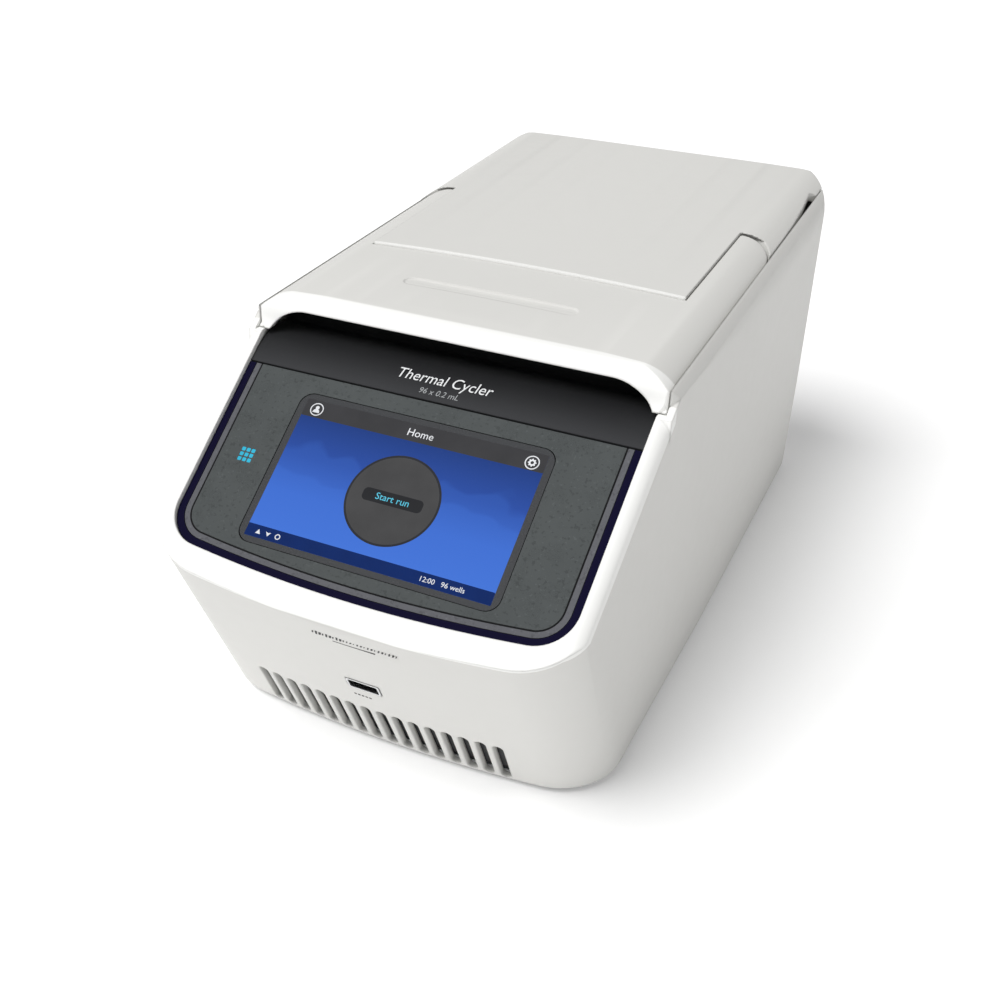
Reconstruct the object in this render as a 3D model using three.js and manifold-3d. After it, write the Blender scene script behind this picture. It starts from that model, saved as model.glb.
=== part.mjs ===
// A compact 96-well thermal cycler: a hollow housing with a sloped touch panel, a heated lid with a
// lifting lever, and the block, heat sink, fan and electronics inside. Millimetres, +Z up, front to -Y.
import * as THREE from 'three';
import { mergeVertices } from 'three/addons/utils/BufferGeometryUtils.js';
import Module from 'manifold-3d';

const wasm = await Module();
wasm.setup();

// Overall size, and the lines that shape the housing.
const HALF_WIDTH = 98;
const REAR_Y = 192.5;
const BASE_Z = 4;
const TOP_Z = 179.3;
const LEAN = THREE.MathUtils.degToRad(25.4);
const SLOPE = THREE.MathUtils.degToRad(34.25);
const FRONT_FOOT_Y = -150.8;
const FRONT_TUCK = 4;
const TAPER_Y = 100;
const BASE_TUCK = 2.4;
const DRAFT_Z = 85;
const NOSE_RADIUS = 6;
const RIM_EDGE_RADIUS = 6;
const RIM_HALF_FOOT = 92.4;
const RIM_HALF_HEAD = 95.3;
const CROWN_RADIUS = 1600;
const SHOULDER_RADIUS = 22;
const REAR_TOP_RADIUS = 15;
const REAR_CORNER_RADIUS = 34;
const FRONT_CORNER_RADIUS = 30;
const FRONT_BOW_RADIUS = 550;
const LIP_FOOT_Y = -98.5;
const LIP_NOSE_Y = -95;
const LIP_NOSE_Z = 168;
const LIP_TOP_Y = -78;
const LIP_CORNER_RADIUS = 18;

// Walls and running gaps.
const WALL = 3;
const FIT = 0.3;
const SEAM = 0.6;

// The sloped panel: its centre, and half sizes measured in its own plane.
const PANEL_Y = -144.5;
const PANEL_Z = 126;
const RIM_HEIGHT = 2;
const OPENING_HALF = 88.9;
const OPENING_FOOT = 43.5;
const OPENING_BOW = 4;
const OPENING_CORNER = 17;
const OPENING_HEAD = 78;
const PANEL_HEAD = 43.1;
const GASKET_WIDTH = 3.1;
const PANEL_THICK = 3;
const DISPLAY_HALF_X = 57;
const DISPLAY_HALF_V = 35;
const DISPLAY_CORNER = 6;
const LIGHT_X = -69.3;
const LIGHT_V = 0.8;
const LIGHT_PITCH = 3.2;
const LIGHT_DOT = 2.2;

// The lid, its lever, and the bay between the side rails that they close.
const BAY_HALF = 92.3;
const BAY_FRONT_Y = -96.2;
const BAY_CORNER = 12.6;
const BAY_FLOOR_Z = 137;
const LID_HALF = 91.7;
const LID_FOOT_Z = 140.5;
const LID_SKIN = 3.2;
const LEVER_DROP = 1;
const LEVER_SKIN = 3.5;
const SEAM_Y = -20.4;
const ARM_INNER = 75.4;
const ARM_REAR_Y = 69.5;
const ARM_CORNER = 14;
const LEVER_CORNER = 15;
const LEVER_FRONT_Y = -95.6;
const LEVER_PIVOT = { y: 56, z: 164.5 };
const LEVER_SWING = 15;
const HINGE = { y: 170, z: 164 };
const PIVOT_PIN = 2;
const HINGE_PIN = 3;
const GRIP_HALF = 87;
const GRIP_TOP_Z = 169.5;
const GRIP_CORNER = 14;

// The sample block and what is stacked under it.
const BLOCK_Y = 20;
const BLOCK_HALF_X = 55.5;
const BLOCK_HALF_Y = 37.5;
const BLOCK_TOP_Z = 137;
const BLOCK_FOOT_Z = 108.3;
const WELL_PITCH = 9;
const WELL_COLUMNS = 12;
const WELL_ROWS = 8;
const WELL_DEPTH = 16;
const SINK_TOP_Z = 104;
const SINK_FOOT_Z = 60;
const DECK_Z = 138;
const DECK_LOW_Z = 126;

// The heated plate's stack inside the lid.
const LINER_FOOT_Z = 143.4;
const PLATEN_FOOT_Z = 142.4;
const PLATEN_THICK = 6.5;
const PLATEN_LIFT = 3.6;
const PRESSURE_PLATE_Z = 158.4;

// Vents, rear panel and feet.
const VENT_COUNT = 16;
const VENT_PITCH = 7.44;
const VENT_X = -1;
const VENT_WIDTH = 4.3;
const VENT_TOP_Z = 31.3;
const VENT_FOOT_Z = 7;
const USB_X = 0.6;
const USB_Z = 51.2;
const REAR_HALF = 78;
const REAR_FOOT_Z = 14;
const REAR_HEAD_Z = 118;
const FAN_X = -29;
const FAN_Z = 66;
const FAN_HALF = 46;
const FAN_BORE = 42;
const INLET_X = 50;
const INLET_Z = 34;
const SWITCH_Z = 70;
const FOOT_RADIUS = 9;

// ---------------------------------------------------------------- solids

function toSolid(geometry) {
  const bare = geometry.clone();
  bare.deleteAttribute('normal');
  bare.deleteAttribute('uv');
  const merged = mergeVertices(bare, 1e-4);
  return new wasm.Manifold(new wasm.Mesh({
    numProp: 3,
    vertProperties: new Float32Array(merged.attributes.position.array),
    triVerts: new Uint32Array(merged.index.array),
  }));
}

function toGeometry(solid) {
  const mesh = solid.getMesh();
  const geometry = new THREE.BufferGeometry();
  geometry.setAttribute('position', new THREE.BufferAttribute(new Float32Array(mesh.vertProperties), 3));
  geometry.setIndex(new THREE.BufferAttribute(new Uint32Array(mesh.triVerts), 1));
  geometry.computeVertexNormals();
  return geometry;
}

function box(x0, x1, y0, y1, z0, z1) {
  const geometry = new THREE.BoxGeometry(x1 - x0, y1 - y0, z1 - z0);
  geometry.translate((x0 + x1) / 2, (y0 + y1) / 2, (z0 + z1) / 2);
  return toSolid(geometry);
}

function joined(solids) {
  return solids.reduce((sum, solid) => sum.add(solid));
}

// A round bar along X, between two places on it.
function barX(radius, x0, x1, y, z, sides = 16) {
  const geometry = new THREE.CylinderGeometry(radius, radius, x1 - x0, sides);
  geometry.rotateZ(Math.PI / 2);
  geometry.translate((x0 + x1) / 2, y, z);
  return toSolid(geometry);
}

function barY(radius, y0, y1, x, z, sides = 24) {
  const geometry = new THREE.CylinderGeometry(radius, radius, y1 - y0, sides);
  geometry.translate(x, (y0 + y1) / 2, z);
  return toSolid(geometry);
}

function barZ(radius, z0, z1, x, y, sides = 16) {
  const geometry = new THREE.CylinderGeometry(radius, radius, z1 - z0, sides);
  geometry.rotateX(Math.PI / 2);
  geometry.translate(x, y, (z0 + z1) / 2);
  return toSolid(geometry);
}

function extruded(shape, depth, curveSegments) {
  return new THREE.ExtrudeGeometry(shape, { depth, bevelEnabled: false, curveSegments });
}

// An outline drawn in (y, z), swept along X.
function prismX(shape, x0, x1, curveSegments = 4) {
  const geometry = extruded(shape, x1 - x0, curveSegments);
  const basis = new THREE.Matrix4().makeBasis(
    new THREE.Vector3(0, 1, 0), new THREE.Vector3(0, 0, 1), new THREE.Vector3(1, 0, 0),
  );
  geometry.applyMatrix4(basis);
  geometry.translate(x0, 0, 0);
  return toSolid(geometry);
}

// An outline drawn in (x, z), swept along Y.
function prismY(shape, y0, y1, curveSegments = 4) {
  const geometry = extruded(shape, y1 - y0, curveSegments);
  geometry.rotateX(Math.PI / 2);
  geometry.translate(0, y1, 0);
  return toSolid(geometry);
}

// An outline drawn in (x, y), swept up Z.
function prismZ(shape, z0, z1, curveSegments = 4) {
  const geometry = extruded(shape, z1 - z0, curveSegments);
  geometry.translate(0, 0, z0);
  return toSolid(geometry);
}

// The frame of the sloped panel: x across, v up the slope, and n out of it.
function panelMatrix() {
  const across = new THREE.Vector3(1, 0, 0);
  const up = new THREE.Vector3(0, Math.cos(SLOPE), Math.sin(SLOPE));
  const out = new THREE.Vector3(0, -Math.sin(SLOPE), Math.cos(SLOPE));
  return new THREE.Matrix4().makeBasis(across, up, out).setPosition(0, PANEL_Y, PANEL_Z);
}

// An outline drawn in the panel's plane, swept from one height over it to another.
function prismPanel(shape, n0, n1, curveSegments = 5) {
  const geometry = extruded(shape, n1 - n0, curveSegments);
  geometry.translate(0, 0, n0);
  geometry.applyMatrix4(panelMatrix());
  return toSolid(geometry);
}

function roundedRectangle(x0, x1, y0, y1, radius) {
  const shape = new THREE.Shape();
  shape.moveTo(x0 + radius, y0);
  shape.lineTo(x1 - radius, y0);
  shape.absarc(x1 - radius, y0 + radius, radius, -Math.PI / 2, 0, false);
  shape.lineTo(x1, y1 - radius);
  shape.absarc(x1 - radius, y1 - radius, radius, 0, Math.PI / 2, false);
  shape.lineTo(x0 + radius, y1);
  shape.absarc(x0 + radius, y1 - radius, radius, Math.PI / 2, Math.PI, false);
  shape.lineTo(x0, y0 + radius);
  shape.absarc(x0 + radius, y0 + radius, radius, Math.PI, 1.5 * Math.PI, false);
  return shape;
}

function polygon(points) {
  return new THREE.Shape(points.map(([a, b]) => new THREE.Vector2(a, b)));
}

// ---------------------------------------------------------------- the housing's outer form

// Seen from the side: lean front, rounded nose, panel slope, lid lip, flat top and round rear edge.
function sideOutline(inset) {
  const foot = inset > 0 ? BASE_Z - 5 : BASE_Z;
  const rear = REAR_Y - inset;
  const top = TOP_Z - inset;
  const slopeUp = new THREE.Vector2(Math.cos(SLOPE), Math.sin(SLOPE));
  const slopeOut = new THREE.Vector2(-Math.sin(SLOPE), Math.cos(SLOPE));
  const leanUp = new THREE.Vector2(-Math.sin(LEAN), Math.cos(LEAN));
  const leanIn = new THREE.Vector2(Math.cos(LEAN), Math.sin(LEAN));
  const onSlope = new THREE.Vector2(PANEL_Y, PANEL_Z).addScaledVector(slopeOut, RIM_HEIGHT - inset);
  const onLean = new THREE.Vector2(FRONT_FOOT_Y, BASE_Z).addScaledVector(leanIn, inset);
  const radius = Math.max(NOSE_RADIUS - inset, 2);
  // The nose's centre lies one radius inside both lines.
  const a = onSlope.clone().addScaledVector(slopeOut, -radius);
  const b = onLean.clone().addScaledVector(leanIn, radius);
  const along = (b.clone().sub(a).cross(leanUp)) / slopeUp.cross(leanUp);
  const nose = a.addScaledVector(slopeUp, along);
  const lipFootY = LIP_FOOT_Y + 0.6 * inset;
  const lipFootZ = onSlope.y + (lipFootY - onSlope.x) * Math.tan(SLOPE);
  const lipNoseY = LIP_NOSE_Y + inset;
  const shape = new THREE.Shape();
  shape.moveTo(rear, foot);
  shape.lineTo(rear, top - REAR_TOP_RADIUS + inset);
  shape.absarc(REAR_Y - REAR_TOP_RADIUS, TOP_Z - REAR_TOP_RADIUS, REAR_TOP_RADIUS - inset, 0, Math.PI / 2);
  shape.lineTo(LIP_TOP_Y, top);
  shape.quadraticCurveTo(lipNoseY, top, lipNoseY, LIP_NOSE_Z - inset);
  shape.quadraticCurveTo(lipNoseY, lipFootZ + 2, lipFootY, lipFootZ);
  shape.absarc(nose.x, nose.y, radius, Math.PI / 2 + SLOPE, Math.PI + LEAN);
  shape.lineTo(onLean.x + (BASE_Z - foot) * Math.tan(LEAN) + (onLean.y - BASE_Z) * Math.tan(LEAN), foot);
  return shape;
}

// Seen from the front: sides drawn in at the foot, round shoulders and a gently crowned top.
function frontOutline(inset) {
  const half = HALF_WIDTH - inset;
  const crownZ = TOP_Z - CROWN_RADIUS;
  const shoulderX = HALF_WIDTH - SHOULDER_RADIUS;
  const shoulderZ = crownZ + Math.sqrt((CROWN_RADIUS - SHOULDER_RADIUS) ** 2 - shoulderX ** 2);
  const tilt = Math.asin(shoulderX / (CROWN_RADIUS - SHOULDER_RADIUS));
  const foot = half - BASE_TUCK;
  const shape = new THREE.Shape();
  shape.moveTo(-foot, BASE_Z - 10);
  shape.lineTo(foot, BASE_Z - 10);
  shape.lineTo(foot, BASE_Z);
  shape.lineTo(half, DRAFT_Z);
  shape.lineTo(half, shoulderZ);
  shape.absarc(shoulderX, shoulderZ, SHOULDER_RADIUS - inset, 0, Math.PI / 2 - tilt);
  shape.absarc(0, crownZ, CROWN_RADIUS - inset, Math.PI / 2 - tilt, Math.PI / 2 + tilt);
  shape.absarc(-shoulderX, shoulderZ, SHOULDER_RADIUS - inset, Math.PI / 2 + tilt, Math.PI);
  shape.lineTo(-half, DRAFT_Z);
  shape.lineTo(-foot, BASE_Z);
  return shape;
}

// Seen from above at the foot: sides that close in to the front, and a bowed front between round corners.
function frontPlan(inset) {
  const cornerX = HALF_WIDTH - FRONT_TUCK - FRONT_CORNER_RADIUS;
  const reach = FRONT_BOW_RADIUS - FRONT_CORNER_RADIUS;
  const bowY = FRONT_FOOT_Y + FRONT_BOW_RADIUS;
  const cornerY = bowY - Math.sqrt(reach ** 2 - cornerX ** 2);
  const tilt = Math.asin(cornerX / reach);
  const edge = inset / Math.cos(LEAN);
  const corner = FRONT_CORNER_RADIUS - inset;
  const half = HALF_WIDTH - inset;
  const front = half - FRONT_TUCK;
  const bend = half - 0.65 * FRONT_TUCK;
  const shape = new THREE.Shape();
  shape.moveTo(half, REAR_Y + 200);
  shape.lineTo(-half, REAR_Y + 200);
  shape.lineTo(-half, TAPER_Y);
  shape.quadraticCurveTo(-bend, 10, -front, cornerY);
  shape.absarc(-cornerX, cornerY, corner, Math.PI, 1.5 * Math.PI - tilt);
  shape.absarc(0, bowY, FRONT_BOW_RADIUS - edge, 1.5 * Math.PI - tilt, 1.5 * Math.PI + tilt);
  shape.absarc(cornerX, cornerY, corner, 1.5 * Math.PI + tilt, 2 * Math.PI);
  shape.quadraticCurveTo(bend, 10, half, TAPER_Y);
  return shape;
}

function rearPlan(inset) {
  return roundedRectangle(
    -HALF_WIDTH + inset, HALF_WIDTH - inset, -REAR_Y - 60, REAR_Y - inset, REAR_CORNER_RADIUS - inset,
  );
}

// A bar along the slope with rounded upper edges, narrower at its foot: it rounds the rim's side edges.
function slopeBar(inset) {
  const foot = -80;
  const head = 70;
  const radius = Math.max(RIM_EDGE_RADIUS - inset, 1);
  const top = RIM_HEIGHT - inset;
  const half = RIM_HALF_HEAD - inset;
  const bar = extruded(roundedRectangle(-half, half, -250, top, radius), head - foot, 4);
  const narrowing = (RIM_HALF_FOOT - RIM_HALF_HEAD) / RIM_HALF_HEAD;
  // The outline is drawn across X and up the panel's normal, so its sweep runs down the slope.
  bar.rotateX(Math.PI / 2);
  bar.translate(0, head, 0);
  const places = bar.attributes.position;
  for (let i = 0; i < places.count; i += 1) {
    const share = (head - places.getY(i)) / (head - foot);
    places.setX(i, places.getX(i) * (1 + narrowing * share));
  }
  bar.applyMatrix4(panelMatrix());
  return toSolid(bar);
}

// What is cut away so that the lip's front corners are round from above.
function lipCorners(inset) {
  const half = HALF_WIDTH - inset;
  const block = box(-120, 120, -120, -60, 140, TOP_Z + 30);
  const kept = prismZ(roundedRectangle(
    -half, half, LIP_FOOT_Y + 0.6 * inset, REAR_Y, LIP_CORNER_RADIUS - inset,
  ), 100, TOP_Z + 40);
  const over = prismPanel(roundedRectangle(-150, 150, -20, 150, 1), RIM_HEIGHT - inset, 90);
  return block.intersect(over).subtract(kept);
}

// The housing's whole outer form, drawn in by an inset.
function outerForm(inset) {
  const side = prismX(sideOutline(inset), -HALF_WIDTH - 5, HALF_WIDTH + 5);
  const front = prismY(frontOutline(inset), -REAR_Y - 50, REAR_Y + 20);
  const leaning = extruded(frontPlan(inset), TOP_Z + 20, 4);
  const lean = Math.tan(LEAN);
  leaning.translate(0, 0, -10);
  leaning.applyMatrix4(new THREE.Matrix4().set(
    1, 0, 0, 0,
    0, 1, -lean, lean * BASE_Z,
    0, 0, 1, 0,
    0, 0, 0, 1,
  ));
  const rear = prismZ(rearPlan(inset), -10, TOP_Z + 20);
  const whole = side.intersect(front).intersect(toSolid(leaning)).intersect(rear);
  const split = LIP_FOOT_Y + 0.6 * inset;
  const ahead = box(-HALF_WIDTH - 20, HALF_WIDTH + 20, -REAR_Y - 60, split, -20, TOP_Z + 30);
  const sloped = whole.intersect(ahead).intersect(slopeBar(inset));
  return whole.subtract(ahead).add(sloped).subtract(lipCorners(inset));
}

// The panel opening: a bowed foot, round lower corners, and straight sides up to the head.
function openingOutline(inset, head = OPENING_HEAD) {
  const half = OPENING_HALF - inset;
  const foot = -OPENING_FOOT + inset;
  const corner = OPENING_CORNER - inset;
  const shape = new THREE.Shape();
  shape.moveTo(half, head);
  shape.lineTo(-half, head);
  shape.lineTo(-half, foot + corner);
  shape.absarc(-half + corner, foot + corner, corner, Math.PI, 1.46 * Math.PI);
  shape.quadraticCurveTo(0, foot - 2 * OPENING_BOW, half - corner, foot - 0.1);
  shape.absarc(half - corner, foot + corner, corner, 1.54 * Math.PI, 2 * Math.PI);
  return shape;
}

// ---------------------------------------------------------------- housing pieces

function sideRails() {
  const rail = (side) => box(...(side < 0 ? [-HALF_WIDTH - 2, -BAY_HALF] : [BAY_HALF, HALF_WIDTH + 2]),
    BAY_FRONT_Y + 4, REAR_Y + 5, DECK_LOW_Z - 4, TOP_Z + 5);
  return rail(-1).add(rail(1));
}

function ventSlots() {
  const slots = [];
  for (let i = 0; i < VENT_COUNT; i += 1) {
    const x = VENT_X + (i - (VENT_COUNT - 1) / 2) * VENT_PITCH;
    slots.push(box(x - VENT_WIDTH / 2, x + VENT_WIDTH / 2, -175, -134, VENT_FOOT_Z, VENT_TOP_Z));
  }
  return joined(slots);
}

// A block lying square to the leaning front, around the front socket.
function socketBlock(halfX, halfUp, out, deep) {
  const geometry = new THREE.BoxGeometry(2 * halfX, out + deep, 2 * halfUp);
  geometry.translate(0, (deep - out) / 2, 0);
  geometry.rotateX(LEAN);
  geometry.translate(USB_X, FRONT_FOOT_Y - (USB_Z - BASE_Z) * Math.tan(LEAN), USB_Z);
  return toSolid(geometry);
}

function bodyShell(form) {
  const cavity = outerForm(WALL).subtract(sideRails());
  const bay = prismZ(roundedRectangle(
    -BAY_HALF, BAY_HALF, BAY_FRONT_Y, REAR_Y + 30, BAY_CORNER,
  ), BAY_FLOOR_Z, TOP_Z + 5);
  const rear = prismY(roundedRectangle(-REAR_HALF, REAR_HALF, REAR_FOOT_Z, REAR_HEAD_Z, 5), 180, 200);
  return form
    .subtract(cavity)
    .subtract(bay)
    .subtract(prismPanel(openingOutline(0), -16, 20))
    .subtract(ventSlots())
    .subtract(socketBlock(7.9, 4.1, 10, 12))
    .subtract(rear);
}

function basePlate() {
  const slab = box(-HALF_WIDTH, HALF_WIDTH, -REAR_Y, REAR_Y, BASE_Z, BASE_Z + 2.4);
  const slots = [];
  for (let i = 0; i < 6; i += 1) {
    slots.push(box(-45, 45, -76 + 16 * i, -70 + 16 * i, 0, 20));
  }
  return outerForm(WALL + 0.4).intersect(slab).subtract(joined(slots));
}

function foot() {
  const profile = [
    [0, 0], [FOOT_RADIUS - 1.2, 0], [FOOT_RADIUS, 1.2], [FOOT_RADIUS, BASE_Z - FIT], [0, BASE_Z - FIT],
  ].map(([r, z]) => new THREE.Vector2(r, z));
  const geometry = new THREE.LatheGeometry(profile, 20);
  geometry.rotateX(Math.PI / 2);
  return toSolid(geometry);
}

function screenGasket() {
  const outer = prismPanel(openingOutline(FIT, PANEL_HEAD), -4, -0.2);
  const inner = prismPanel(openingOutline(FIT + GASKET_WIDTH, PANEL_HEAD + 5), -6, 2);
  return outer.subtract(inner);
}

function lightDots(half, n0, n1) {
  const dots = [];
  for (let i = -1; i <= 1; i += 1) {
    for (let j = -1; j <= 1; j += 1) {
      const x = LIGHT_X + i * LIGHT_PITCH;
      const v = LIGHT_V + j * LIGHT_PITCH;
      dots.push(prismPanel(roundedRectangle(x - half, x + half, v - half, v + half, 0.3), n0, n1, 1));
    }
  }
  return joined(dots);
}

function controlPanel() {
  const sheet = prismPanel(openingOutline(2 * FIT + GASKET_WIDTH, PANEL_HEAD), -PANEL_THICK, 0);
  const window = prismPanel(roundedRectangle(
    -DISPLAY_HALF_X - FIT, DISPLAY_HALF_X + FIT, -DISPLAY_HALF_V - FIT, DISPLAY_HALF_V + FIT, DISPLAY_CORNER,
  ), -10, 5);
  return sheet.subtract(window).subtract(lightDots(LIGHT_DOT / 2 + 0.2, -10, 5));
}

function touchDisplay() {
  return prismPanel(roundedRectangle(
    -DISPLAY_HALF_X, DISPLAY_HALF_X, -DISPLAY_HALF_V, DISPLAY_HALF_V, DISPLAY_CORNER,
  ), -7, -0.15);
}

function displayBoard() {
  return prismPanel(roundedRectangle(-62, 50, -36, 34, 2), -13.2, -11.6);
}

function statusLight() {
  const half = LIGHT_PITCH + LIGHT_DOT;
  const plate = prismPanel(roundedRectangle(
    LIGHT_X - half, LIGHT_X + half, LIGHT_V - half, LIGHT_V + half, 1,
  ), -6, -PANEL_THICK - FIT);
  return plate.add(lightDots(LIGHT_DOT / 2, -PANEL_THICK - 1, -0.1));
}

// The dark visor over the panel: it carries on up the slope, then dips under the lip for the fingers.
function visor() {
  const thick = 2.4;
  const startY = PANEL_Y + (PANEL_HEAD + 0.9) * Math.cos(SLOPE);
  const startZ = PANEL_Z + (PANEL_HEAD + 0.9) * Math.sin(SLOPE);
  const crestY = -94.5;
  const crestZ = startZ + (crestY - startY) * Math.tan(SLOPE);
  const shape = new THREE.Shape();
  shape.moveTo(startY, startZ);
  shape.lineTo(startY + thick * Math.sin(SLOPE), startZ - thick * Math.cos(SLOPE) - 1);
  shape.lineTo(crestY + 1.5, crestZ - thick - 1.6);
  shape.quadraticCurveTo(-88, 154.6, -80, 154.6);
  shape.lineTo(-71.2, 154.6);
  shape.lineTo(-71.2, 163);
  shape.lineTo(-73.2, 163);
  shape.quadraticCurveTo(-74, 157, -80, 157);
  shape.quadraticCurveTo(-89, 157.4, crestY, crestZ);
  const half = OPENING_HALF - 0.5;
  return prismX(shape, -half, half, 5);
}

function frontUsbPort() {
  const sleeve = socketBlock(7.5, 3.7, -0.2, 11.5);
  const mouth = socketBlock(6.6, 2.8, 6, 9.5);
  const tongue = socketBlock(5.6, 0.9, -1.4, 10.5);
  return sleeve.subtract(mouth).add(tongue);
}

// The dark filter frame behind the front slots, leaning with the front wall.
function ventFilter() {
  const behind = outerForm(WALL + 0.8).subtract(outerForm(WALL + 2.8));
  return behind.intersect(box(-62, 62, -190, -120, BASE_Z + 3, VENT_TOP_Z + 6));
}

function deck() {
  const shape = polygon([
    [-70, DECK_Z - 3], [119, DECK_Z - 3], [119, DECK_LOW_Z - 3], [190, DECK_LOW_Z - 3],
    [190, DECK_LOW_Z], [122, DECK_LOW_Z], [122, DECK_Z], [-67.6, DECK_Z], [-67.6, 158], [-70, 158],
  ]);
  const half = BAY_HALF - FIT - 0.1;
  const window = prismZ(roundedRectangle(-59, 59, BLOCK_Y - 41, BLOCK_Y + 41, 5), 120, 150);
  return prismX(shape, -half, half).intersect(outerForm(WALL + 0.4)).subtract(window);
}

function blockSeal() {
  const outer = prismZ(roundedRectangle(-58.7, 58.7, BLOCK_Y - 40.7, BLOCK_Y + 40.7, 4.7), 131, 137.6);
  const inner = prismZ(roundedRectangle(-55.9, 55.9, BLOCK_Y - 37.9, BLOCK_Y + 37.9, 2), 120, 150);
  return outer.subtract(inner);
}

function sampleBlock() {
  const block = prismZ(roundedRectangle(
    -BLOCK_HALF_X, BLOCK_HALF_X, BLOCK_Y - BLOCK_HALF_Y, BLOCK_Y + BLOCK_HALF_Y, 1.6,
  ), BLOCK_FOOT_Z, BLOCK_TOP_Z, 2);
  const wells = [];
  for (let i = 0; i < WELL_COLUMNS; i += 1) {
    for (let j = 0; j < WELL_ROWS; j += 1) {
      const well = new THREE.CylinderGeometry(3.1, 1.3, WELL_DEPTH + 1, 6);
      well.rotateX(Math.PI / 2);
      well.translate(
        (i - (WELL_COLUMNS - 1) / 2) * WELL_PITCH,
        BLOCK_Y + (j - (WELL_ROWS - 1) / 2) * WELL_PITCH,
        BLOCK_TOP_Z - WELL_DEPTH / 2 + 0.5,
      );
      wells.push(toSolid(well));
    }
  }
  return block.subtract(wasm.Manifold.compose(wells));
}

function peltierModule() {
  return box(-17, 17, BLOCK_Y - 32, BLOCK_Y + 32, SINK_TOP_Z + FIT, BLOCK_FOOT_Z - FIT);
}

function heatSink() {
  const fins = [];
  for (let i = 0; i < 13; i += 1) {
    const x = -57 + i * 9.5;
    fins.push(box(x - 0.8, x + 0.8, -22, 62, SINK_FOOT_Z, SINK_TOP_Z - 6));
  }
  return box(-60, 60, -22, 62, SINK_TOP_Z - 8, SINK_TOP_Z).add(joined(fins));
}

function rearPanel() {
  const plate = prismY(roundedRectangle(
    -REAR_HALF + 0.4, REAR_HALF - 0.4, REAR_FOOT_Z + 0.4, REAR_HEAD_Z - 0.4, 4.6,
  ), 187.6, 189.6);
  return plate
    .subtract(barY(FAN_BORE + 1, 180, 200, FAN_X, FAN_Z, 32))
    .subtract(box(INLET_X - 14, INLET_X + 14, 180, 200, INLET_Z - 10.5, INLET_Z + 10.5))
    .subtract(box(INLET_X - 7, INLET_X + 7, 180, 200, SWITCH_Z - 10, SWITCH_Z + 10))
    .subtract(box(INLET_X - 21.5, INLET_X - 8.5, 180, 200, 94, 106))
    .subtract(box(INLET_X + 3.5, INLET_X + 20.5, 180, 200, 92.8, 107.2));
}

// The exhaust guard: rings and spokes in the fan opening.
function exhaustGuard() {
  const ring = (r0, r1) => barY(r1, 187.8, 189.4, FAN_X, FAN_Z, 24)
    .subtract(barY(r0, 185, 192, FAN_X, FAN_Z, 24));
  const rings = [38.6, 29.5, 20.5, 11.5].map((r) => ring(r, r + (r > 38 ? 3.6 : 1.6)));
  const spokes = [0, 1].map((k) => {
    const geometry = new THREE.BoxGeometry(2, 1.6, 80);
    geometry.rotateY(Math.PI / 4 + k * Math.PI / 2);
    geometry.translate(FAN_X, 188.6, FAN_Z);
    return toSolid(geometry);
  });
  return joined([...rings, ...spokes]);
}

function fanHousing() {
  const frame = box(FAN_X - FAN_HALF, FAN_X + FAN_HALF, 161, 186.4, FAN_Z - FAN_HALF, FAN_Z + FAN_HALF);
  const spokes = [0, 1].map((k) => {
    const geometry = new THREE.BoxGeometry(5, 2.4, 2 * FAN_BORE + 4);
    geometry.rotateY(Math.PI / 4 + k * Math.PI / 2);
    geometry.translate(FAN_X, 162.4, FAN_Z);
    return toSolid(geometry);
  });
  const motor = barY(16, 161.2, 166, FAN_X, FAN_Z, 24);
  return frame.subtract(barY(FAN_BORE, 150, 200, FAN_X, FAN_Z, 32)).add(joined([...spokes, motor]));
}

function fanRotor() {
  const blades = [];
  for (let i = 0; i < 7; i += 1) {
    const geometry = new THREE.BoxGeometry(2, 15, 26);
    geometry.rotateZ(THREE.MathUtils.degToRad(38));
    geometry.translate(0, 0, 26.5);
    geometry.rotateY((i * 2 * Math.PI) / 7);
    geometry.translate(FAN_X, 176.5, FAN_Z);
    blades.push(toSolid(geometry));
  }
  return barY(16.5, 167, 186, FAN_X, FAN_Z, 24).add(joined(blades));
}

function powerInlet() {
  const flange = prismY(roundedRectangle(
    INLET_X - 19, INLET_X + 19, INLET_Z - 13.5, INLET_Z + 13.5, 3,
  ), 189.9, 192.5);
  const barrel = box(INLET_X - 13.6, INLET_X + 13.6, 166, 190.5, INLET_Z - 10.1, INLET_Z + 10.1);
  const socket = prismY(polygon([
    [INLET_X - 11.8, INLET_Z - 8], [INLET_X + 11.8, INLET_Z - 8], [INLET_X + 11.8, INLET_Z + 4],
    [INLET_X + 7.8, INLET_Z + 8], [INLET_X - 7.8, INLET_Z + 8], [INLET_X - 11.8, INLET_Z + 4],
  ]), 170, 200);
  const pins = [[-7, -1.5], [0, 2.5], [7, -1.5]].map(([dx, dz]) => box(
    INLET_X + dx - 1, INLET_X + dx + 1, 169, 186, INLET_Z + dz - 2, INLET_Z + dz + 2,
  ));
  return flange.add(barrel).subtract(socket).add(joined(pins));
}

function switchFrame() {
  const flange = box(INLET_X - 9, INLET_X + 9, 189.9, 191.2, SWITCH_Z - 12, SWITCH_Z + 12);
  const body = box(INLET_X - 6.7, INLET_X + 6.7, 172, 190.5, SWITCH_Z - 9.7, SWITCH_Z + 9.7);
  const well = box(INLET_X - 5.2, INLET_X + 5.2, 176, 200, SWITCH_Z - 8.4, SWITCH_Z + 8.4);
  return flange.add(body).subtract(well);
}

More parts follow.
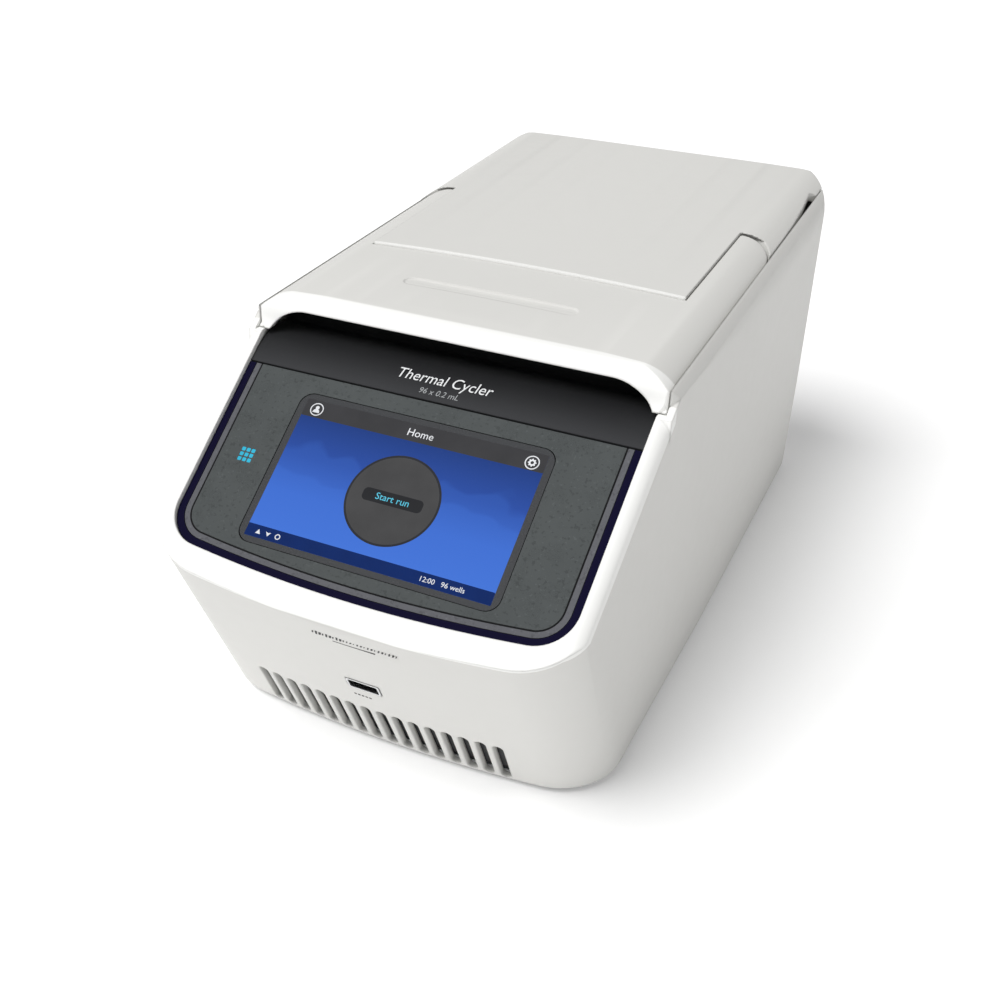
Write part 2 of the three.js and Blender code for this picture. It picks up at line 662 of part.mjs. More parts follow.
// The rocker: two faces meeting at a shallow angle over a round root.
function powerRocker() {
  const shape = new THREE.Shape();
  shape.moveTo(190.6, SWITCH_Z - 7.6);
  shape.lineTo(190.2, SWITCH_Z);
  shape.lineTo(192.3, SWITCH_Z + 7.4);
  shape.lineTo(188, SWITCH_Z + 7.7);
  shape.lineTo(180.5, SWITCH_Z + 2);
  shape.lineTo(180.5, SWITCH_Z - 2);
  shape.lineTo(186.5, SWITCH_Z - 7.6);
  return prismX(shape, INLET_X - 4.8, INLET_X + 4.8);
}

function rearUsbPort() {
  const x = INLET_X - 15;
  return box(x - 6.1, x + 6.1, 175, 190.6, 94.4, 105.6)
    .subtract(box(x - 4.9, x + 4.9, 179, 200, 95.6, 104.4))
    .add(box(x - 3, x + 3, 178, 188.5, 98.2, 101.8));
}

function networkPort() {
  const x = INLET_X + 12;
  return box(x - 8.1, x + 8.1, 172, 190.6, 93.2, 106.8)
    .subtract(box(x - 6.2, x + 6.2, 177, 200, 94.6, 103));
}

function mainBoard() {
  return box(-84, 6, -60, 70, 14, 15.6).add(box(-70, -40, -30, 0, 15.5, 22));
}

function boardStandoff() {
  return barZ(3, BASE_Z + 2.7, 13.7, 0, 0, 8);
}

function powerSupply() {
  return box(22, 86, 20, 140, 11, 48);
}

// ---------------------------------------------------------------- lid pieces

function hingeBracket(side) {
  const shape = new THREE.Shape();
  shape.moveTo(140, DECK_LOW_Z + FIT);
  shape.lineTo(152, 146);
  shape.lineTo(168, 156.5);
  shape.absarc(HINGE.y, HINGE.z, 7, 1.45 * Math.PI, 2.7 * Math.PI);
  shape.lineTo(146, 160);
  shape.lineTo(135, 146);
  shape.lineTo(126, DECK_LOW_Z + FIT);
  const [x0, x1] = side < 0 ? [-76, -70] : [70, 76];
  return prismX(shape, x0, x1, 8).subtract(barX(HINGE_PIN + FIT, x0 - 1, x1 + 1, HINGE.y, HINGE.z));
}

function hingePin(side) {
  const [x0, x1] = side < 0 ? [-78, -60] : [60, 78];
  return barX(HINGE_PIN, x0, x1, HINGE.y, HINGE.z);
}

function hingeLug(side) {
  const shape = new THREE.Shape();
  shape.moveTo(HINGE.y + 7, HINGE.z);
  shape.lineTo(HINGE.y + 7, TOP_Z - LID_SKIN);
  shape.lineTo(HINGE.y - 24, TOP_Z - LID_SKIN);
  shape.absarc(HINGE.y, HINGE.z, 7, 0.9 * Math.PI, 2 * Math.PI);
  const [x0, x1] = side < 0 ? [-68, -62] : [62, 68];
  return prismX(shape, x0, x1, 8);
}

// The lever's outline from above: a band across the front with an arm down each side.
function leverPlan(gap) {
  const seam = SEAM_Y - SEAM / 2 + gap;
  const inner = ARM_INNER + SEAM / 2 - gap;
  const rear = ARM_REAR_Y - SEAM / 2 + gap;
  const outer = LID_HALF + gap;
  const corner = ARM_CORNER;
  const shape = new THREE.Shape();
  const front = LEVER_FRONT_Y - gap;
  const nose = LEVER_CORNER + gap;
  shape.moveTo(-outer + nose, front);
  shape.lineTo(outer - nose, front);
  shape.absarc(outer - nose, front + nose, nose, 1.5 * Math.PI, 2 * Math.PI);
  shape.lineTo(outer, rear - corner);
  shape.quadraticCurveTo(outer, rear, inner + 1, rear);
  shape.lineTo(inner, rear - 1);
  shape.lineTo(inner, seam);
  shape.lineTo(-inner, seam);
  shape.lineTo(-inner, rear - 1);
  shape.lineTo(-inner - 1, rear);
  shape.quadraticCurveTo(-outer, rear, -outer, rear - corner);
  shape.absarc(-outer + nose, front + nose, nose, Math.PI, 1.5 * Math.PI);
  return shape;
}

// One solid turned about the lever's pivot by each step of its swing.
function swungAboutPivot(solid, direction) {
  const turned = [solid];
  for (let angle = 3; angle <= LEVER_SWING; angle += 3) {
    turned.push(solid
      .translate([0, -LEVER_PIVOT.y, -LEVER_PIVOT.z])
      .rotate([direction * angle, 0, 0])
      .translate([0, LEVER_PIVOT.y, LEVER_PIVOT.z]));
  }
  return joined(turned);
}

// The lid's centre and rear shell, cut clear of the lever's arms through their whole swing.
function lidShell(form) {
  const region = box(-LID_HALF, LID_HALF, SEAM_Y + SEAM / 2, REAR_Y + 5, LID_FOOT_Z, TOP_Z + 5);
  const arms = prismZ(leverPlan(SEAM), 150, TOP_Z + 5).intersect(box(-95, 95, 40, 80, 150, TOP_Z + 5))
    .intersect(outerForm(LEVER_DROP - 0.3));
  const hollow = outerForm(LID_SKIN);
  const lugs = hingeLug(-1).add(hingeLug(1)).intersect(outerForm(0.5));
  const bores = barX(HINGE_PIN + FIT, -90, 90, HINGE.y, HINGE.z);
  return form.subtract(hollow).intersect(region).add(lugs)
    .subtract(bores)
    .subtract(prismZ(leverPlan(SEAM), 150, TOP_Z + 5))
    .subtract(swungAboutPivot(arms, -1));
}

function lidLever() {
  const plan = prismZ(leverPlan(0), 158, TOP_Z + 5);
  const outer = outerForm(LEVER_DROP);
  const skin = outer.subtract(outerForm(LEVER_DROP + LEVER_SKIN)).intersect(plan);
  const skirts = [-1, 1].map((side) => box(
    ...(side < 0 ? [-LID_HALF, -88.9] : [88.9, LID_HALF]), -86, 62, 160.5, TOP_Z,
  ).intersect(outer));
  const grip = prismY(roundedRectangle(-GRIP_HALF, GRIP_HALF, 120, GRIP_TOP_Z, GRIP_CORNER), -110, -86);
  const lidEdge = box(-ARM_INNER, ARM_INNER, SEAM_Y - SEAM / 2, 0, 150, TOP_Z + 5);
  const edgeSwing = swungAboutPivot(lidEdge.intersect(outerForm(-0.2)), 1);
  const cheekFoot = box(-95, 95, -110, -80, 100, 160.6);
  return skin.add(joined(skirts).intersect(plan))
    .subtract(grip)
    .subtract(cheekFoot)
    .subtract(edgeSwing)
    .subtract(barX(PIVOT_PIN + FIT, -100, 100, LEVER_PIVOT.y, LEVER_PIVOT.z));
}

function pivotPin(side) {
  const [x0, x1] = side < 0 ? [-91.4, -83.6] : [83.6, 91.4];
  return barX(PIVOT_PIN, x0, x1, LEVER_PIVOT.y, LEVER_PIVOT.z);
}

// The lid's dark tray: it holds the heated plate, and carries the lever's pins at its sides.
function lidLiner() {
  const walls = box(-88.3, 88.3, -66, 128, LINER_FOOT_Z, 166);
  const ears = box(-88.3, 88.3, 48, 57.9, 160, 167.4);
  const room = box(-90, 90, 57.9, 72, 164.9, 170);
  const hollow = box(-85.8, 85.8, -63.5, 125.5, LINER_FOOT_Z + 2.5, 180);
  const window = box(-59, 59, BLOCK_Y - 43, BLOCK_Y + 43, 130, 160);
  const posts = [[-40, 110], [40, 110], [-40, 100], [40, 100]].map(([x, y]) => box(
    x - 3, x + 3, y - 3, y + 3, LINER_FOOT_Z + 1, TOP_Z - LID_SKIN - 1,
  ));
  return walls.subtract(room).add(ears).subtract(hollow).subtract(window).add(joined(posts))
    .subtract(barX(PIVOT_PIN + FIT, -100, 100, LEVER_PIVOT.y, LEVER_PIVOT.z));
}

function lidFrame() {
  return box(-85.5, 85.5, -63.2, -22.5, 162.6, 165.4);
}

function pressurePlate() {
  return box(-62, 62, BLOCK_Y - 41, BLOCK_Y + 41, PRESSURE_PLATE_Z, PRESSURE_PLATE_Z + 3);
}

function heatedPlaten() {
  return prismZ(roundedRectangle(
    -58, 58, BLOCK_Y - 42, BLOCK_Y + 42, 3,
  ), PLATEN_FOOT_Z, PLATEN_FOOT_Z + PLATEN_THICK, 3);
}

function platenHeater() {
  const foot = PLATEN_FOOT_Z + PLATEN_THICK + FIT;
  return box(-44, 44, BLOCK_Y - 34, BLOCK_Y + 34, foot, foot + 1.5);
}

// The room that one coil spring fills when it is pressed home.
function platenSpring() {
  const foot = PLATEN_FOOT_Z + PLATEN_THICK + PLATEN_LIFT + FIT;
  const head = PRESSURE_PLATE_Z - FIT;
  const profile = [[2.6, foot], [4.6, foot], [4.6, head], [2.6, head], [2.6, foot]]
    .map(([r, z]) => new THREE.Vector2(r, z));
  const geometry = new THREE.LatheGeometry(profile, 16);
  geometry.rotateX(Math.PI / 2);
  return toSolid(geometry);
}

function catchMagnet() {
  return barZ(4, DECK_Z + 1, LINER_FOOT_Z - FIT, 0, 0, 12);
}

// ---------------------------------------------------------------- assembly

const WHITE_SHELL = { color: 0xe6e6e2, roughness: 0.42, metalness: 0 };
const DARK_PLASTIC = { color: 0x2b2d30, roughness: 0.55, metalness: 0 };
const RUBBER = { color: 0x1c1c1e, roughness: 0.8, metalness: 0 };
const STEEL = { color: 0xb9bcc0, roughness: 0.32, metalness: 1 };
const ALUMINIUM = { color: 0xc9ccd0, roughness: 0.4, metalness: 1 };
const BOARD_GREEN = { color: 0x1f5a3a, roughness: 0.5, metalness: 0 };

function piece(name, solid, finish) {
  const mesh = new THREE.Mesh(toGeometry(solid), new THREE.MeshStandardMaterial(finish));
  mesh.name = name;
  return mesh;
}

function placed(mesh, x, y, z = 0) {
  mesh.position.set(x, y, z);
  return mesh;
}

function housingGroup(form) {
  const group = new THREE.Group();
  group.add(
    piece('body_shell', bodyShell(form), WHITE_SHELL),
    piece('base_plate', basePlate(), STEEL),
    placed(piece('foot_front_left', foot(), RUBBER), -70, -118),
    placed(piece('foot_front_right', foot(), RUBBER), 70, -118),
    placed(piece('foot_rear_left', foot(), RUBBER), -70, 160),
    placed(piece('foot_rear_right', foot(), RUBBER), 70, 160),
    piece('vent_filter', ventFilter(), DARK_PLASTIC),
    piece('front_usb_port', frontUsbPort(), STEEL),
    piece('rear_panel', rearPanel(), STEEL),
    piece('exhaust_guard', exhaustGuard(), DARK_PLASTIC),
    piece('power_inlet', powerInlet(), DARK_PLASTIC),
    piece('switch_frame', switchFrame(), DARK_PLASTIC),
    piece('power_rocker', powerRocker(), DARK_PLASTIC),
    piece('rear_usb_port', rearUsbPort(), STEEL),
    piece('network_port', networkPort(), STEEL),
  );
  return group;
}

function panelGroup() {
  const group = new THREE.Group();
  group.add(
    piece('screen_gasket', screenGasket(), { color: 0x120e2d, roughness: 0.35, metalness: 0 }),
    piece('control_panel', controlPanel(), { color: 0x545858, roughness: 0.6, metalness: 0 }),
    piece('touch_display', touchDisplay(), { color: 0x1c49b8, roughness: 0.12, metalness: 0 }),
    piece('display_board', displayBoard(), BOARD_GREEN),
    piece('status_light', statusLight(), { color: 0x39c7e6, roughness: 0.3, metalness: 0 }),
    piece('visor', visor(), { color: 0x33353a, roughness: 0.5, metalness: 0 }),
  );
  return group;
}

function insideGroup() {
  const group = new THREE.Group();
  group.add(
    piece('deck', deck(), DARK_PLASTIC),
    piece('block_seal', blockSeal(), RUBBER),
    piece('sample_block', sampleBlock(), ALUMINIUM),
    piece('heat_sink', heatSink(), ALUMINIUM),
    piece('fan_housing', fanHousing(), DARK_PLASTIC),
    piece('fan_rotor', fanRotor(), { color: 0x1b1c1e, roughness: 0.5, metalness: 0 }),
    piece('main_board', mainBoard(), BOARD_GREEN),
    piece('power_supply', powerSupply(), STEEL),
  );
  [-36, 0, 36].forEach((x, i) => {
    const finish = { color: 0xefeee8, roughness: 0.5, metalness: 0 };
    group.add(placed(piece(`peltier_module_${i + 1}`, peltierModule(), finish), x, 0));
  });
  [[-78, -54], [0, -54], [-78, 64], [0, 64]].forEach(([x, y], i) => {
    group.add(placed(piece(`board_standoff_${i + 1}`, boardStandoff(), STEEL), x, y));
  });
  return group;
}

function hingeGroup() {
  const group = new THREE.Group();
  group.add(
    piece('hinge_bracket_left', hingeBracket(-1), STEEL),
    piece('hinge_bracket_right', hingeBracket(1), STEEL),
    piece('hinge_pin_left', hingePin(-1), STEEL),
    piece('hinge_pin_right', hingePin(1), STEEL),
  );
  return group;
}

function lidGroup(form) {
  const group = new THREE.Group();
  group.add(
    piece('lid_shell', lidShell(form), WHITE_SHELL),
    piece('lid_lever', lidLever(), WHITE_SHELL),
    piece('lever_pin_left', pivotPin(-1), STEEL),
    piece('lever_pin_right', pivotPin(1), STEEL),
    piece('lid_liner', lidLiner(), DARK_PLASTIC),
    piece('lid_frame', lidFrame(), DARK_PLASTIC),
    piece('pressure_plate', pressurePlate(), STEEL),
    piece('heated_platen', heatedPlaten(), ALUMINIUM),
    piece('platen_heater', platenHeater(), { color: 0xb4501f, roughness: 0.6, metalness: 0 }),
  );
  [[-51, -14], [51, -14], [-51, 54], [51, 54]].forEach(([x, y], i) => {
    group.add(placed(piece(`platen_spring_${i + 1}`, platenSpring(), STEEL), x, y));
  });
  [[-74, 'left'], [74, 'right']].forEach(([x, side]) => {
    group.add(placed(piece(`catch_magnet_${side}`, catchMagnet(), STEEL), x, -50));
  });
  return group;
}

const group = new THREE.Group();
const form = outerForm(0);
group.add(housingGroup(form), panelGroup(), insideGroup(), hingeGroup(), lidGroup(form));

export default group;
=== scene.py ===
"""The looks of a compact 96-well thermal cycler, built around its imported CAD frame.

Sizes in this file are millimetres until they reach a mesh, which is in metres. +Z is up and the front is to -Y.
"""

import logging
import math
from dataclasses import dataclass, field, replace
from enum import Enum
from typing import Any, Callable, Iterable, Sequence

import bpy
from mathutils import Matrix, Vector


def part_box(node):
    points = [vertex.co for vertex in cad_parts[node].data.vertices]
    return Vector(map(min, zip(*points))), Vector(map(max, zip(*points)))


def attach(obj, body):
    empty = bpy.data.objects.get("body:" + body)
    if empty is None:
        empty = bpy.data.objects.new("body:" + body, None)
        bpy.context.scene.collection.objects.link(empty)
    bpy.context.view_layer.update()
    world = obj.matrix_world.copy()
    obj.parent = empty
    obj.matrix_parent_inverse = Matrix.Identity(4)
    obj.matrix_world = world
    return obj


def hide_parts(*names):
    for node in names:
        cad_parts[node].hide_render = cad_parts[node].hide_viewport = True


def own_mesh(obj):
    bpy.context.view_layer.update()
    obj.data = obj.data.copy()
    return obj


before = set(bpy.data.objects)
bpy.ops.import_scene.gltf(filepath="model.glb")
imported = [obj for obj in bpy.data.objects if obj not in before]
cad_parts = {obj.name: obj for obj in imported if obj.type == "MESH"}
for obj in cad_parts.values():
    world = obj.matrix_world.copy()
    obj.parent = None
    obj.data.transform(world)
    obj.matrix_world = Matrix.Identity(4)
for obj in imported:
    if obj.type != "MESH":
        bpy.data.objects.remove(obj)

LOG = logging.getLogger("thermal_cycler")
MM = 0.001
WELD_M = 2e-6
CLOSE_MM = 1e-4
Point = tuple[float, float]
Colour = tuple[float, float, float]
PARTS = "ShaderNodeSeparateXYZ"
# The near white of the painted highlights on the lid's and lever's front edges and on the panel rim.
PAINTED_HIGHLIGHT_WHITE: Colour = (0.95, 0.95, 0.93)


class Body(Enum):
    """The moving bodies of the frame."""

    HOUSING = "housing"
    LID = "lid"
    LEVER = "lever"
    PLATEN = "platen"
    FAN = "fan"
    ROCKER = "rocker"


class Slot(Enum):
    """The record's material slots."""

    WHITE_SHELL = "white_shell"
    DARK_PLASTIC = "dark_plastic"
    GASKET_NAVY = "gasket_navy"
    PANEL_GREY = "panel_grey"
    DISPLAY_GLASS = "display_glass"
    LIGHT_GUIDE = "light_guide"
    RUBBER = "rubber"
    STEEL = "steel"
    BLOCK_ALUMINIUM = "block_aluminium"
    CIRCUIT_BOARD = "circuit_board"
    CERAMIC = "ceramic"
    HEATER_MAT = "heater_mat"


# ------------------------------------------------------------------------------------------- shader graphs


class Value:
    """A number that comes out of a socket, with the arithmetic that shader maths needs."""

    def __init__(self, graph: "Graph", socket: Any) -> None:
        """Wraps a socket of a graph."""
        self.graph = graph
        self.socket = socket

    def _with(self, operation: str, first: Any, second: Any) -> "Value":
        """One Math node on two operands."""
        return self.graph.value("ShaderNodeMath", {"operation": operation}, {0: first, 1: second})

    def __add__(self, other: Any) -> "Value":
        """The sum."""
        return self._with("ADD", self, other)

    def __radd__(self, other: Any) -> "Value":
        """The sum, with the number first."""
        return self._with("ADD", other, self)

    def __sub__(self, other: Any) -> "Value":
        """The difference."""
        return self._with("SUBTRACT", self, other)

    def __rsub__(self, other: Any) -> "Value":
        """The difference, with the number first."""
        return self._with("SUBTRACT", other, self)

    def __mul__(self, other: Any) -> "Value":
        """The product."""
        return self._with("MULTIPLY", self, other)

    def __rmul__(self, other: Any) -> "Value":
        """The product, with the number first."""
        return self._with("MULTIPLY", other, self)

    def above(self, edge: float) -> "Value":
        """One where the value is over the edge, and nothing elsewhere."""
        return self._with("GREATER_THAN", self, edge)


class Graph:
    """The node tree of one material."""

    def __init__(self, name: str) -> None:
        """Makes an empty material of that name, with its output and its main shader.

        Args:
            name: the material's name.
        """
        self.material = bpy.data.materials.new(name)
        self.material.use_nodes = True
        self.tree = self.material.node_tree
        self.tree.nodes.clear()
        self.shader = self.node("ShaderNodeBsdfPrincipled", {}, {})
        output = self.tree.nodes.new("ShaderNodeOutputMaterial")
        self.tree.links.new(self.shader.outputs[0], output.inputs[0])

    def node(self, kind: str, settings: dict[str, Any], inputs: dict[Any, Any]) -> Any:
        """Adds a node.

        Args:
            kind: the node's type.
            settings: its attributes; "stops" fills a colour ramp.
            inputs: values, colours, sockets or Values by socket name or number.

        Returns:
            The node.
        """
        node = self.tree.nodes.new(kind)
        for key, setting in settings.items():
            if key == "stops":
                self._fill_ramp(node.color_ramp, setting)
            else:
                setattr(node, key, setting)
        for key, given in inputs.items():
            self.feed(node, key, given)
        return node

    def feed(self, node: Any, key: Any, given: Any) -> None:
        """Sets or links one input of a node.

        Args:
            node: the node.
            key: the socket's name or number.
            given: a value, a colour, a socket or a Value.
        """
        socket = node.inputs[key]
        if isinstance(given, Value):
            self.tree.links.new(given.socket, socket)
        elif isinstance(given, bpy.types.NodeSocket):
            self.tree.links.new(given, socket)
        elif isinstance(given, tuple) and len(given) == 3 and socket.type == "RGBA":
            socket.default_value = (*given, 1.0)
        else:
            socket.default_value = given

    @staticmethod
    def _fill_ramp(ramp: Any, stops: Sequence[tuple[float, Colour]]) -> None:
        """Writes the stops of a colour ramp.

        Args:
            ramp: the ramp.
            stops: the place and colour of each stop.
        """
        while len(ramp.elements) < len(stops):
            ramp.elements.new(1.0)
        for element, (place, colour) in zip(ramp.elements, stops):
            element.position = place
            element.color = (*colour, 1.0)

    def value(self, kind: str, settings: dict[str, Any], inputs: dict[Any, Any], out: Any = 0) -> Value:
        """Adds a node and wraps one of its outputs."""
        return Value(self, self.node(kind, settings, inputs).outputs[out])

    def place(self, scale: tuple[float, float, float] = (1.0, 1.0, 1.0), turn_x: float = 0.0) -> Any:
        """The object's own coordinates, scaled and turned about X.

        Args:
            scale: the scale along each axis.
            turn_x: the turn about X in radians, made before the scale.

        Returns:
            A vector socket.
        """
        where = self.node("ShaderNodeTexCoord", {}, {}).outputs["Object"]
        if turn_x:
            settings = {"rotation_type": "X_AXIS"}
            where = self.node("ShaderNodeVectorRotate", settings, {"Vector": where, "Angle": turn_x}).outputs[0]
        return self.node("ShaderNodeVectorMath", {"operation": "MULTIPLY"}, {0: where, 1: scale}).outputs[0]

    def noise(self, scale: float, detail: float = 2.0, where: Any = None) -> Value:
        """Noise with so many bumps to the metre."""
        inputs = {"Vector": where or self.place(), "Scale": scale, "Detail": detail}
        return self.value("ShaderNodeTexNoise", {}, inputs)

    def stretch(self, value: Value, low: float, high: float, to_low: float, to_high: float) -> Value:
        """Maps a range of values to another and holds its ends."""
        inputs = {"Value": value, "From Min": low, "From Max": high, "To Min": to_low, "To Max": to_high}
        return self.value("ShaderNodeMapRange", {}, inputs)

    def blend(self, factor: Any, first: Any, second: Any, how: str = "MIX") -> Any:
        """Mixes two colours and returns the colour socket.

        Args:
            factor: how much of the second shows.
            first: the colour at nothing.
            second: the colour at one.
            how: how they mix.

        Returns:
            The socket.
        """
        settings = {"data_type": "RGBA", "blend_type": how}
        node = self.node("ShaderNodeMix", settings, {"Factor": factor})
        self.feed(node, 6, first)
        self.feed(node, 7, second)
        return node.outputs[2]

    def edges(self, radius_mm: float) -> tuple[Any, Value]:
        """Rounded normals, and a mask of the object's sharp edges.

        Args:
            radius_mm: how far from an edge the rounding reaches.

        Returns:
            The rounded normal, and the mask.
        """
        rounded = self.node("ShaderNodeBevel", {"samples": 6}, {"Radius": radius_mm * MM}).outputs[0]
        flat = self.node("ShaderNodeNewGeometry", {}, {}).outputs["Normal"]
        likeness = self.value("ShaderNodeVectorMath", {"operation": "DOT_PRODUCT"}, {0: rounded, 1: flat}, "Value")
        return rounded, self.stretch(likeness, 0.7, 0.99, 1.0, 0.0)

    def bump(self, height: Value, depth_mm: float, normal: Any = None, strength: float = 1.0) -> Any:
        """A bump from a height in 0..1, so many millimetres deep.

        Args:
            height: its height.
            depth_mm: the depth of the full height.
            normal: the normal under it, if any.
            strength: how strong it is.

        Returns:
            The socket.
        """
        inputs = {"Height": height, "Distance": depth_mm * MM, "Strength": strength}
        if normal is not None:
            inputs["Normal"] = normal
        return self.node("ShaderNodeBump", {}, inputs).outputs[0]

    def surface(self, **sockets: Any) -> bpy.types.Material:
        """Sets the main shader's inputs, with _ for each space, and returns the material.

        Args:
            sockets: a value or link for each input.

        Returns:
            The material.
        """
        for key, given in sockets.items():
            self.feed(self.shader, key.replace("_", " "), given)
        return self.material


# ------------------------------------------------------------------------------------------------ finishes


@dataclass(frozen=True)
class Moulded:
    """Moulded plastic: mottled a little, fine-grained, and paler and smoother along its edges; some also carry a
    painted highlight on a front edge or on the panel rim.
    """

    name: str
    colour: Colour
    roughness: float = 0.45
    mottle: float = 0.03
    grain_per_m: float = 2600.0
    grain_mm: float = 0.012
    edge_mm: float = 0.6
    edge_paler: float = 0.06
    specular: float = 0.4
    # Where a strip of painted highlight along the front edge ends, in metres of y; rim paints a highlight on the panel
    # rim.
    painted_highlight_y_m: float | None = None
    rim: bool = False

    def build(self) -> bpy.types.Material:
        """Makes the material.

        Returns:
            The material.
        """
        graph = Graph(self.name)
        rounded, worn = graph.edges(self.edge_mm)
        clouds = graph.noise(14.0, 4.0)
        streaks = graph.noise(160.0, 3.0)
        tone = graph.stretch(clouds, 0.3, 0.7, -self.mottle, self.mottle)
        pale = tuple(min(1.0, c * (1.0 + self.edge_paler) + 0.02) for c in self.colour)
        deep = tuple(c * (1.0 - self.mottle) for c in self.colour)
        base = graph.blend(tone + 0.5, deep, self.colour)
        # Painted highlight: the face in front of this y is painted near white, standing in for the light that the front
        # edge catches.
        if self.painted_highlight_y_m is not None:
            parts = graph.node(PARTS, {}, {0: graph.place()})
            lip = graph.stretch(Value(graph, parts.outputs[1]), self.painted_highlight_y_m, self.painted_highlight_y_m + 0.0008, 1.0, 0.0)
            base = graph.blend(lip, base, PAINTED_HIGHLIGHT_WHITE)
        # Painted highlight: the raised rim round the panel is painted near white, standing in for the light that it
        # catches.
        if self.rim:
            base = graph.blend(self.painted_rim_highlight_mask(graph), base, PAINTED_HIGHLIGHT_WHITE)
        base = graph.blend(worn * 0.8, base, pale)
        grain = graph.noise(self.grain_per_m, 2.0)
        rough = graph.stretch(streaks, 0.3, 0.7, self.roughness - 0.04, self.roughness + 0.05)
        return graph.surface(
            Base_Color=base,
            Roughness=rough - worn * 0.06,
            Specular_IOR_Level=self.specular,
            Normal=graph.bump(grain, self.grain_mm, rounded),
        )

    @staticmethod
    def painted_rim_highlight_mask(graph: Graph) -> Value:
        """One where a highlight is painted on the raised rim round the panel, wider down its sides.

        Args:
            graph: the material's graph.

        Returns:
            The mask.
        """
        form = Form()
        slope = math.radians(form.slope)
        parts = graph.node(PARTS, {}, {0: graph.place()})
        x, y, z = (Value(graph, parts.outputs[i]) for i in range(3))
        height = z * math.cos(slope) - y * math.sin(slope)
        level = (form.panel_z * math.cos(slope) - form.panel_y * math.sin(slope)) * MM
        across = graph.value("ShaderNodeMath", {"operation": "ABSOLUTE"}, {0: x})
        wider = graph.stretch(across, 0.087, 0.094, 0.0, 0.0042)
        over = graph.stretch(height + wider, level + 0.0003, level + 0.0008, 0.0, 1.0)
        return over * graph.stretch(y, -0.0936, -0.0930, 1.0, 0.0)


@dataclass(frozen=True)
class Metal:
    """Machined or brushed metal, with tool lines along one axis."""

    name: str
    colour: Colour
    roughness: float = 0.32
    lines: tuple[float, float, float] = (30.0, 900.0, 900.0)
    line_mm: float = 0.01
    edge_mm: float = 0.3

    def build(self) -> bpy.types.Material:
        """Makes the material.

        Returns:
            The material.
        """
        graph = Graph(self.name)
        rounded, worn = graph.edges(self.edge_mm)
        brushed = graph.noise(1.0, 3.0, graph.place(self.lines))
        stains = graph.noise(45.0, 4.0)
        dull = tuple(c * 0.82 for c in self.colour)
        bright = tuple(min(1.0, c * 1.12) for c in self.colour)
        base = graph.blend(graph.stretch(stains, 0.35, 0.7, 0.0, 1.0), self.colour, dull)
        base = graph.blend(worn * 0.7, base, bright)
        rough = graph.stretch(brushed, 0.25, 0.75, self.roughness - 0.1, self.roughness + 0.12)
        return graph.surface(
            Base_Color=base,
            Metallic=1.0,
            Roughness=rough,
            Normal=graph.bump(brushed, self.line_mm, rounded),
        )


@dataclass(frozen=True)
class Rubber:
    """Matt rubber with a dusty bloom."""

    name: str
    colour: Colour = (0.012, 0.012, 0.014)

    def build(self) -> bpy.types.Material:
        """Makes the material.

        Returns:
            The material.
        """
        graph = Graph(self.name)
        rounded, worn = graph.edges(0.5)
        dust = graph.noise(220.0, 5.0)
        dusty = tuple(c + 0.03 for c in self.colour)
        base = graph.blend(graph.stretch(dust, 0.5, 0.75, 0.0, 0.6), self.colour, dusty)
        base = graph.blend(worn * 0.5, base, dusty)
        pores = graph.noise(1500.0, 2.0)
        return graph.surface(
            Base_Color=base,
            Roughness=graph.stretch(dust, 0.3, 0.7, 0.7, 0.88),
            Normal=graph.bump(pores, 0.03, rounded),
        )


@dataclass(frozen=True)
class Overlay:
    """The grey film of the control panel: a fine fleck, faint scuffs and a soft sheen."""

    name: str
    colour: Colour
    fleck_per_m: float = 620.0

    def build(self) -> bpy.types.Material:
        """Makes the material.

        Returns:
            The material.
        """
        graph = Graph(self.name)
        rounded, worn = graph.edges(0.3)
        clouds = graph.noise(38.0, 3.0)
        flecks = graph.stretch(graph.noise(self.fleck_per_m, 2.0), 0.6, 0.66, 0.0, 1.0)
        light_flecks = graph.stretch(graph.noise(self.fleck_per_m * 1.3, 2.0), 0.64, 0.7, 0.0, 1.0)
        dark = tuple(c * 0.62 for c in self.colour)
        pale = tuple(c * 1.4 for c in self.colour)
        base = graph.blend(graph.stretch(clouds, 0.3, 0.7, 0.0, 0.22), self.colour, dark)
        base = graph.blend(flecks * 0.6, base, dark)
        base = graph.blend(light_flecks * 0.5, base, pale)
        base = graph.blend(worn * 0.5, base, pale)
        wander = graph.blend(0.12, graph.place(), graph.node("ShaderNodeTexNoise", {}, {
            "Vector": graph.place(), "Scale": 300.0,
        }).outputs["Color"])
        settings = {"feature": "DISTANCE_TO_EDGE"}
        seams = graph.value("ShaderNodeTexVoronoi", settings, {"Vector": wander, "Scale": 150.0}, "Distance")
        patches = graph.stretch(graph.noise(95.0, 2.0), 0.52, 0.6, 0.0, 1.0)
        scuffs = graph.stretch(seams, 0.015, 0.035, 1.0, 0.0) * patches
        base = graph.blend(scuffs * 0.6, base, tuple(c * 0.3 for c in self.colour))
        grain = graph.noise(1900.0, 2.0)
        return graph.surface(
            Base_Color=base,
            Roughness=graph.stretch(clouds, 0.3, 0.7, 0.5, 0.62),
            Specular_IOR_Level=0.3,
            Normal=graph.bump(grain, 0.015, rounded),
        )


